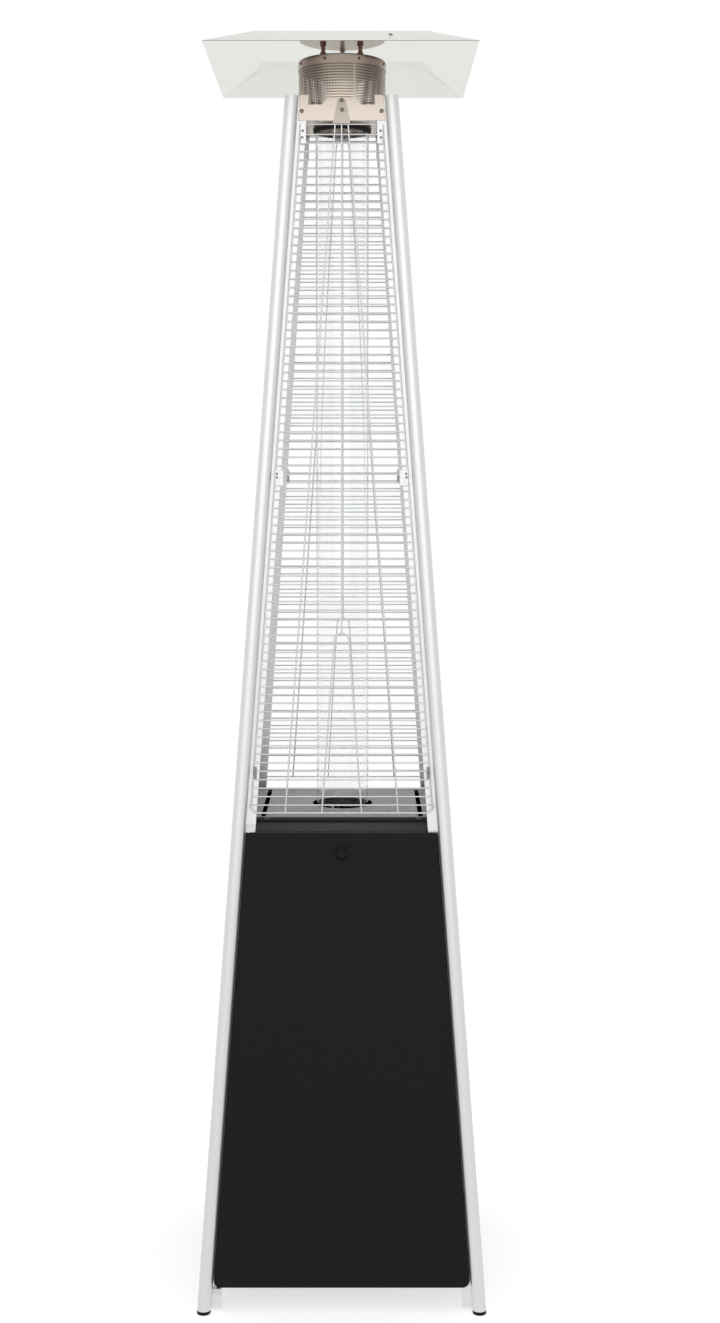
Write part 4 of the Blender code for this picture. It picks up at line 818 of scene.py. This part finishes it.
class HEATER_OT_flame_tube(bpy.types.Operator):
    """The glass tube and the black collar that holds its top"""
    bl_idname = "heater.flame_tube"
    bl_label = "Flame tube"

    def execute(self, context):
        wall, edge, soft, lip_reach = 0.0024, 0.0005, 0.0010, 0.0014
        radius, bore, low, high = GLASS_HIGH.x, GLASS_HIGH.x - wall, GLASS_LOW.z, GLASS_HIGH.z
        glass = turned(((bore, low + edge), (bore + edge, low), (radius - edge, low), (radius, low + edge),
                        (radius, high - edge), (radius - edge, high), (bore + edge, high), (bore, high - edge)),
                       96, capped=False)
        dress(make_mesh("flame_glass", glass), finish("clear_quartz_glass"), ["glass_tube"])
        inner, outer = radius + sizes().clearance, COLLAR_HIGH.x
        lip, lip_bore = high + sizes().clearance, bore - lip_reach
        low, high = COLLAR_LOW.z, COLLAR_HIGH.z
        collar = turned(((inner, low + soft), (inner + soft, low), (outer - soft, low), (outer, low + soft),
                         (outer, high - soft), (outer - soft, high), (lip_bore, high), (lip_bore, lip), (inner, lip)),
                        capped=False)
        dress(make_mesh("collar_seal", collar), finish("moulded_silicone"), ["tube_seal_upper"])
        return {"FINISHED"}


def hairpin(bend_radius, low, bend_height):
    """Path of a hairpin: legs that spread with the posts below a round bend."""
    foot = bend_radius + lean() * (bend_height - low)
    turns = [math.pi * i / 14 for i in range(15)]
    arc = [(-bend_radius * math.cos(t), bend_height + bend_radius * math.sin(t)) for t in turns]
    return on_side([(-foot, low)] + arc + [(foot, low)], hairpin_depth())


class HEATER_OT_guards(bpy.types.Operator):
    """Lower and upper wire guards of the four sides, with their hairpins"""
    bl_idname = "heater.guards"
    bl_label = "Guards"

    def execute(self, context):
        s = sizes()
        heights, depth, corner = row_heights(), hairpin_depth(), 0.014
        foot, joint, top = heights[0] - s.first_row, heights[s.lower_rows], heights[-1]
        split = joint - s.row_wire / 2 - s.clearance
        wires = []
        for half, rows in (("lower", heights[:s.lower_rows]), ("upper", heights[s.lower_rows:])):
            ends = [[(end * (guard_half_width(height) - PACKED_WIRE / 2), height) for height in rows]
                    for end in (-1, 1)]
            paths = list(zip(*ends)) + [(rail[0], rail[-1]) for rail in ends]
            wires.append((f"guard_rows_{half}_", [on_side(path, row_depth()) for path in paths], s.row_wire,
                          f"guard_{half}_", ""))
        # The base wire, the small hairpin, the centre wire and the legs of the big hairpin up to the joint
        reach = guard_half_width(foot) - PACKED_WIRE / 2
        base = on_side([(-reach, foot + corner), (-reach, foot), (reach, foot), (reach, foot + corner)], depth)
        small_bend = foot + s.small_rise
        lower = [bent_path(base, corner * 0.95, 8), hairpin(s.small_bend_radius, foot, small_bend),
                 on_side([(0, small_bend + s.small_bend_radius), (0, split)], depth)]
        for end in (-1, 1):
            lower.append(on_side([(end * (s.bend_radius + lean() * (top - z)), z) for z in (foot, split)], depth))
        upper = [hairpin(s.bend_radius, joint, top), on_side([(0, joint), (0, top + s.bend_radius)], depth)]
        for half, paths in (("lower", lower), ("upper", upper)):
            wires.append((f"guard_pins_{half}_", paths, s.hairpin_wire, f"guard_{half}_", "_uprights"))
        for quarter, side in enumerate(SIDES):
            for name, paths, diameter, node, ending in wires:
                dress_turned(make_wires(name + side, paths, diameter), quarter, finish("bright_plated_wire"),
                             [node + side + ending])
        return {"FINISHED"}


def clip_plates(plates):
    """Small sheet plates on the wires at both ends of the four guards, with turned corners and a soft front edge."""
    corner, soft, bodies = 0.0012, 0.0003, []
    for end in (-1, 1):
        for level, near, far, low, high, rise in plates:
            across = sorted(end * (guard_half_width(level) - inwards) for inwards in (near, far))
            bodies.append(loft([on_side(rounded_rectangle(*across, level + low, level + high, corner, inset, 3),
                                        clip_depth() - out)
                                for inset, out in ((0, 0), (0, rise - soft), (soft, rise))]))
    return join([moved(body, quarter_turn(quarter)) for quarter in range(4) for body in bodies])


class HEATER_OT_clips(bpy.types.Operator):
    """Sheet clips that hold the guards at their upper corners, at their joint and near their foot, with bolts"""
    bl_idname = "heater.clips"
    bl_label = "Clips"

    def execute(self, context):
        heights, rows = row_heights(), sizes().lower_rows
        foot_rise, bolt = 0.0590, 0.0023
        top, joint, foot = ROWS_HIGH, (heights[rows - 1] + heights[rows]) / 2, heights[0] + foot_rise
        # Of a plate: its level, its two sides in from the guard's edge, its ends from the level, its thickness
        light = ((top, 0.0010, 0.0110, -0.0370, 0, SHEET), (joint, 0.0015, 0.0165, -0.0130, 0.0150, SHEET),
                 (joint, 0.0080, 0.0165, -0.0130, 0.0020, 0.0017))
        dark = ((foot, 0.0010, 0.0065, -0.0105, 0.0105, SHEET),)
        dress(make_mesh("guard_clips", clip_plates(light)), finish("bright_plated_wire"))
        dress(make_mesh("guard_clip_folds", clip_plates(dark)), finish("zinc_plated_sheet"))
        # Of a bolt: its height and its place in from the guard's edge
        bolts = ((top - 0.0140, 0.0060), (top - 0.0260, 0.0060), (joint + 0.0085, 0.0045), (joint + 0.0020, 0.0045),
                 (foot, 0.0040))
        places = [face_frame(end * (guard_half_width(height) - inwards), clip_depth() - SHEET, height)
                  for end in (-1, 1) for height, inwards in bolts]
        add_screws("guard_clip_bolts", bolt, all_sides(places), finish("zinc_plated_sheet"))
        return {"FINISHED"}


def hook_plate_faces(height):
    """Depths of a hook plate's front and back, which go in from the hairpins' bends to the frame's tongue."""
    outer, inner = 0.0011, 0.0064
    back = outer + (inner - outer) * (height - HOOK_LOW) / (HOOK_HIGH - HOOK_LOW)
    return back - SHEET, back


def hook_plate_body():
    """A sheet over the hairpins' bends that leans in to the frame's tongue and narrows upwards."""
    wide, narrow, corner, steps = 0.0160, 0.0066, 0.0030, 24
    rows = []
    for step in range(steps + 1):
        rise = step / steps
        height = HOOK_LOW + (HOOK_HIGH - HOOK_LOW) * rise
        front, back = hook_plate_faces(height)
        half = wide + (narrow - wide) * rise
        over = height - (HOOK_HIGH - corner)
        if over > 0:
            half -= corner - math.sqrt(max(corner ** 2 - over ** 2, 0))
        rows.append([on_face(x, y, height) for x, y in ((-half, back), (-half, front), (half, front), (half, back))])
    return loft(rows)


class HEATER_OT_top_frame(bpy.types.Operator):
    """Brushed finish of the top frame, its hook plates, and the screws that hold them"""
    bl_idname = "heater.top_frame"
    bl_label = "Top frame"

    def execute(self, context):
        set_node_finish("top_frame", finish("brushed_stainless"))
        add_four("hook_sheet_", hook_plate_body(), SIDES, finish("warmed_stainless"),
                 "hook_plate_")
        tab_rise, tab_inset, plate_screws, screw = 0.0170, 0.0015, ((0.0010, 0.0185), (0, 0.0365)), 0.0038
        wall, tab = sizes().flange_depth - sizes().clearance - SHEET, FRAME_LOW + tab_rise
        places = [face_frame(end * (guard_half_width(tab) - tab_inset), wall, tab) for end in (-1, 1)]
        for x, rise in plate_screws:
            places.append(face_frame(x, hook_plate_faces(FRAME_LOW + rise)[0], FRAME_LOW + rise))
        add_screws("frame_screws", screw, all_sides(places), finish("nickel_plated_screw"))
        return {"FINISHED"}


def perforated_drum():
    """A drum of thin sheet with a square pattern of oval holes between plain bands, and a plain seam."""
    s = sizes()
    low, high, shells = DRUM_LOW.z, DRUM_HIGH.z, (DRUM_HIGH.x, DRUM_HIGH.x - SHEET)
    least_bands = 0.006
    columns = round(math.tau * DRUM_HIGH.x / s.hole_pitch)
    rows = int((high - low - least_bands) / s.hole_pitch)
    band = (high - low - rows * s.hole_pitch) / 2
    # The seam is in front, four columns to the right of the middle
    seam = round(columns * 0.75) + 4
    levels = [low] + [low + band + s.hole_pitch / 2 * i for i in range(2 * rows + 1)] + [high]
    around = 2 * columns
    points = [point for shell in shells for height in levels for point in circle(shell, height, around)]

    def grid(shell, level, column):
        return (shell * len(levels) + level) * around + column % around

    def ring(shell, level):
        return [grid(shell, level, column) for column in range(around)]

    last = len(levels) - 1
    faces = []
    for shell, level in ((0, 0), (0, last - 1), (1, 0), (1, last - 1)):
        faces += strip(ring(shell, level), ring(shell, level + 1))
    for level in (0, last):
        faces += strip(ring(0, level), ring(1, level))
    # Each hole is a ring of eight points in a cell of the grid, on both faces of the sheet
    rim = ((0, 0), (1, 0), (2, 0), (2, 1), (2, 2), (1, 2), (0, 2), (0, 1))
    turns = [math.radians(angle) for angle in (225, 270, 315, 0, 45, 90, 135, 180)]
    for row in range(rows):
        for column in range(columns):
            border = [[grid(shell, 1 + 2 * row + up, 2 * column + across) for across, up in rim] for shell in (0, 1)]
            if column == seam:
                faces += [tuple(cell) for cell in border]
                continue
            middle_turn, middle = math.tau * (column + 0.5) / columns, levels[2 + 2 * row]
            holes = []
            for radius, cell in zip(shells, border):
                holes.append(range(len(points), len(points) + len(turns)))
                for t in turns:
                    turn = middle_turn + s.hole_width / 2 * math.cos(t) / DRUM_HIGH.x
                    points.append(Vector((radius * math.cos(turn), radius * math.sin(turn),
                                          middle + s.hole_height / 2 * math.sin(t))))
                faces += strip(cell, holes[-1])
            faces += strip(*holes)
    return points, faces


class HEATER_OT_emitter(bpy.types.Operator):
    """The perforated emitter drum with its seam, its lid and the lid's screws"""
    bl_idname = "heater.emitter"
    bl_label = "Emitter"

    def execute(self, context):
        steel, slot = tempered_steel(), "tempered_stainless_steel"
        dress(make_mesh("emitter_mesh", perforated_drum(), 60), steel, ["emitter_drum"])
        shoulder, roll, roll_reach, screw_rise, sunk, screw = 0.0045, 0.0007, 0.0006, 0.0095, 0.0001, 0.0026
        radius, top, low = LID_HIGH.x - roll_reach, LID_HIGH.z, LID_LOW.z
        bore = radius - SHEET
        outer = [(radius - inset, top - down) for inset, down in soft_corner(shoulder, 6)]
        inner = [(bore - inset, top - SHEET - down) for inset, down in soft_corner(shoulder - SHEET, 6)]
        rolled = radius + roll * 0.8
        lip = [(radius, low + 2 * roll), (rolled, low + roll * 1.4), (rolled, low + roll * 0.4), (radius, low),
               (bore, low)]
        dress(make_mesh("emitter_cap", turned(outer[::-1] + lip + inner, 96)), steel, ["emitter_lid"])
        places = []
        for angle in (-112, -67, -20, 23, 68, 113, 158, 203):
            normal = Vector((math.cos(math.radians(angle)), math.sin(math.radians(angle)), 0))
            places.append(place_on(Vector((0, 0, 1)).cross(normal), normal,
                                   normal * (radius - sunk) + Vector((0, 0, low + screw_rise))))
        add_screws("lid_screws", screw, places, finish("scorched_steel"))
        return {"FINISHED"}


class HEATER_OT_studs(bpy.types.Operator):
    """Three studs with hexagon nuts that carry the reflector above the lid"""
    bl_idname = "heater.studs"
    bl_label = "Studs"

    def execute(self, context):
        nut, rod, collar, disc, gap, nut_height, edge = 0.0055, 0.0038, 0.0040, 0.0009, 0.0010, 0.0030, 0.0004
        # The rear stud has the paler stainless instead of the burnt brown of the other two: painted light against the
        # shade it stands in behind the lid
        for side, steel in (("left", "scorched_steel"), ("right", "scorched_steel"), ("rear", "warmed_stainless")):
            low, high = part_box("stud_" + side)
            centre = ((low.x + high.x) / 2, (low.y + high.y) / 2)
            low, high = low.z, high.z
            bodies = [turned(((collar, low), (nut, low), (nut, low + disc), (rod, low + disc), (rod, high - disc),
                              (nut, high - disc), (nut, high), (collar, high)), 24, centre=centre)]
            for start, end in ((low + gap, low + gap + nut_height), (high - gap - nut_height, high - gap)):
                rings = ((nut - edge, start), (nut, start + edge), (nut, end - edge), (nut - edge, end))
                bodies.append(turned(rings, 6, centre=centre))
            dress(make_mesh("stud_post_" + side, join(bodies)), finish(steel),
                  ["stud_" + side])
        return {"FINISHED"}


class HEATER_OT_reflector(bpy.types.Operator):
    """The folded square reflector, polished below, with a screw on each of its four slopes"""
    bl_idname = "heater.reflector"
    bl_label = "Reflector"

    def execute(self, context):
        wide, flat, middle, corner, fold = DISH_HIGH.x, 0.1550, 0.020, 0.0025, 0.006
        top, rim = DISH_HIGH.z, DISH_LOW.z + SHEET

        def layer(rise):
            """One face of the sheet, from the middle of the flat over the fold to the rim."""
            path = bent_path([(middle, top + rise), (flat, top + rise), (wide, rim + rise)], fold)
            return [at_height(rounded_rectangle(-half, half, -half, half, corner, 0, 3), height)
                    for half, height in path]

        dish = make_mesh("reflector_sheet", loft(layer(0) + layer(-SHEET)[::-1]), 12)
        dress(dish, polished_aluminium(), ["reflector"])
        slope, x, y, lift, screw = math.atan2(top - rim, wide - flat), 0.087, 0.190, 0.0001, 0.0034
        place = place_on(Vector((1, 0, 0)), Vector((0, -math.sin(slope), math.cos(slope))),
                         Vector((x, -y, top - (y - flat) * math.tan(slope) + lift)))
        add_screws("reflector_nuts", screw, all_sides([place]), finish("nickel_plated_screw"))
        return {"FINISHED"}


class HEATER_OT_knob(bpy.types.Operator):
    """The ribbed control knob with its raised pointer"""
    bl_idname = "heater.knob"
    bl_label = "Control knob"

    def execute(self, context):
        skirt, back = sizes().knob_radius, sizes().sheet + sizes().clearance
        front, grip, edge = back + sizes().knob_length, skirt - 0.0011, 0.0014
        bore, bore_depth, ribs, rib_half, sides = 0.0043, 0.0055, 18, 0.00035, 108
        # Radius, reach and how much of the ribs shows, from the bore round the skirt to the dished face
        rings = [(bore, back + bore_depth, 0), (bore, back, 0), (skirt - 0.0004, back, 0), (skirt, back + 0.0004, 0),
                 (skirt, back + 0.0016, 0), (grip, back + 0.0026, 1)]
        rings += [(grip - inset, front - down, 1 - inset / edge) for inset, down in soft_corner(edge)]
        rings += [(grip - 0.0030, front, 0), (grip - 0.0034, front - 0.0005, 0)]
        loops = []
        for radius, reach, ribbed in rings:
            turns = [math.tau * i / sides for i in range(sides)]
            drawn = [radius - ribbed * rib_half * (1 + math.cos(ribs * t)) for t in turns]
            loops.append(about_knob([(r * math.cos(t), r * math.sin(t)) for r, t in zip(drawn, turns)], reach))
        half, corner, soft, rise = 0.0015, 0.0010, 0.0004, 0.0012
        pointer = [about_knob(rounded_rectangle(-half, half, grip / 3, grip - edge, corner, inset, 3), front + reach)
                   for inset, reach in ((0, -rise), (0, rise - soft), (soft, rise))]
        dress(make_mesh("knob_grip", join([loft(loops), loft(pointer)])), finish("moulded_black_nylon"),
              ["control_knob"], "knob")
        return {"FINISHED"}


def set_node_finish(node, material):
    """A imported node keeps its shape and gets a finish."""
    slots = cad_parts[node].material_slots
    if not slots:
        raise RuntimeError(f"{node} has no material slot")
    for slot in slots:
        slot.material = material


class HEATER_OT_inside(bpy.types.Operator):
    """Finishes of the pieces inside the cabinet and round the burner"""
    bl_idname = "heater.inside"
    bl_label = "Inside"

    def execute(self, context):
        finishes = {
            "zinc_plated_sheet": ("bottle_shelf",),
            "brushed_stainless": ("mixing_tube",),
            "bright_plated_wire": ("door_pivot_upper", "door_pivot_lower"),
            "sooty_sheet_steel": ("tube_seat", "flame_sensor", "pilot_light", "burner_head"),
            "moulded_silicone": ("tube_seal_lower",),
            "machined_brass": ("gas_pipe", "gas_valve", "valve_spindle"),
            "glazed_ceramic": ("spark_pin",),
            "moulded_black_nylon": ("tilt_switch", "door_catch"),
        }
        for name, nodes in finishes.items():
            for node in nodes:
                set_node_finish(node, finish(name))
        return {"FINISHED"}


# Stage

def ray_levels(add):
    """The rays' kinds, 1 for rays of gloss or through glass, and the white that these rays and the camera meet."""
    rays = add("LightPath", {})
    kinds = {0: (rays, "Is Glossy Ray"), 1: (rays, "Is Transmission Ray")}
    gloss = add("Math", {"operation": "SUBTRACT", "use_clamp": True, **kinds})
    either = add("Math", {"operation": "MAXIMUM", **kinds})
    white = add("Math", {"operation": "MULTIPLY_ADD", 1: -0.10, 2: 1.0, 0: gloss})
    return rays, either, white


def cleared(block):
    """The function that adds nodes to a material or a world, after all its nodes are taken out."""
    block.use_nodes = True
    block.node_tree.nodes.clear()
    return partial(add_node, block.node_tree)


def floor_paint():
    """Matt studio paint: pale grey with the heater's soft shadow near it, running out into plain white."""
    material = bpy.data.materials.new("pale_studio_floor")
    add = cleared(material)
    rays, either, white = ray_levels(add)
    paint = add("BsdfDiffuse", {"Color": linear("ECECEA")})
    glow = add("Emission", {"Color": linear("FFFFFF")})
    add("Math", {"operation": "MULTIPLY", 1: 0.58, 0: (rays, "Is Camera Ray")}, (glow, "Strength"))
    lit = add("AddShader", {0: paint, 1: glow})
    backdrop = add("Emission", {"Color": linear("FFFFFF"), "Strength": white})
    place = add("TexCoord", {})
    away = add("VectorMath", {"operation": "LENGTH", 0: (place, "Object")})
    fade = add("MapRange", {"interpolation_type": "SMOOTHSTEP", "From Min": 0.40, "From Max": 1.60,
                                       "Value": (away, "Value")})
    faded = add("Math", {"operation": "MULTIPLY", 0: fade, 1: (rays, "Is Camera Ray")})
    seen = add("Math", {"operation": "MAXIMUM", 0: faded, 1: either})
    mix = add("MixShader", {0: seen, 1: lit, 2: backdrop})
    add("OutputMaterial", {"Surface": mix})
    return material


def area_lamp(name, place, aim, power, width, height):
    """A soft rectangular lamp that looks at a point."""
    lamp = bpy.data.lights.new(name, "AREA")
    lamp.shape, lamp.energy, lamp.size, lamp.size_y = "RECTANGLE", power, width, height
    light = add_object(name, lamp)
    light.location = place
    light.rotation_euler = (Vector(aim) - Vector(place)).to_track_quat("-Z", "Y").to_euler()


class HEATER_OT_stage(bpy.types.Operator):
    """Pale floor, soft studio light and the camera"""
    bl_idname = "heater.stage"
    bl_label = "Stage"

    def execute(self, context):
        scene = context.scene
        scene.view_settings.view_transform = "Standard"
        scene.world = bpy.data.worlds.new("studio")
        add = cleared(scene.world)
        room = add("Background", {"Color": linear("F5F6F8"), "Strength": 0.60})
        rays, either, white = ray_levels(add)
        backdrop = add("Background", {"Color": linear("FFFFFF"), "Strength": white})
        seen = add("Math", {"operation": "MAXIMUM", 0: either, 1: (rays, "Is Camera Ray")})
        mix = add("MixShader", {0: seen, 1: room, 2: backdrop})
        add("OutputWorld", {"Surface": mix})

        reach, level = 14.0, -0.0004
        corners = at_height(four_corners(-reach, reach, -reach, reach), level)
        floor = make_mesh("studio_floor", (corners, [(0, 1, 2, 3)]))
        floor.data.materials.append(floor_paint())

        area_lamp("front", (-0.3, -4.8, 2.9), (0, 0, 1.7), 50, 7.0, 4.2)
        area_lamp("above", (0.2, 0.4, 4.8), (0, 0, 1.2), 22, 2.4, 2.4)

        lens = bpy.data.cameras.new("camera")
        lens.sensor_fit = "VERTICAL"
        lens.sensor_height = 36.0
        lens.lens = 47.357
        lens.shift_y = -0.0536
        camera = add_object("camera", lens)
        camera.location = (0.0333, -3.2981, 1.5444)
        camera.rotation_euler = (math.radians(90 - 4.337), 0, 0)
        scene.camera = camera
        return {"FINISHED"}


class HEATER_PT_sidebar(bpy.types.Panel):
    """Lists the heater's pieces in the order in which they are built"""
    bl_label = "Patio heater"
    bl_idname = "HEATER_PT_sidebar"
    bl_space_type = "VIEW_3D"
    bl_region_type = "UI"
    bl_category = "Heater"

    def draw(self, context):
        for operator in OPERATORS:
            self.layout.operator(operator.bl_idname)
        for group in (context.scene.heater_sizes, context.scene.heater_colours):
            column = self.layout.column(align=True)
            for name in group.__annotations__:
                column.prop(group, name)


OPERATORS = (HEATER_OT_posts, HEATER_OT_feet, HEATER_OT_cladding, HEATER_OT_burner_box, HEATER_OT_deck,
             HEATER_OT_flame_tube, HEATER_OT_guards, HEATER_OT_clips, HEATER_OT_top_frame, HEATER_OT_emitter,
             HEATER_OT_studs, HEATER_OT_reflector, HEATER_OT_knob, HEATER_OT_inside, HEATER_OT_stage)
CLASSES = (HeaterSizes, HeaterColours) + OPERATORS + (HEATER_PT_sidebar,)


def register():
    for item in CLASSES:
        bpy.utils.register_class(item)
    bpy.types.Scene.heater_sizes = PointerProperty(type=HeaterSizes)
    bpy.types.Scene.heater_colours = PointerProperty(type=HeaterColours)


def unregister():
    del bpy.types.Scene.heater_colours
    del bpy.types.Scene.heater_sizes
    for item in reversed(CLASSES):
        bpy.utils.unregister_class(item)


def main():
    """Builds every piece and the stage."""
    register()
    for operator in OPERATORS:
        group, name = operator.bl_idname.split(".")
        getattr(getattr(bpy.ops, group), name)()
    bpy.context.view_layer.update()


if __name__ == "__main__":
    main()
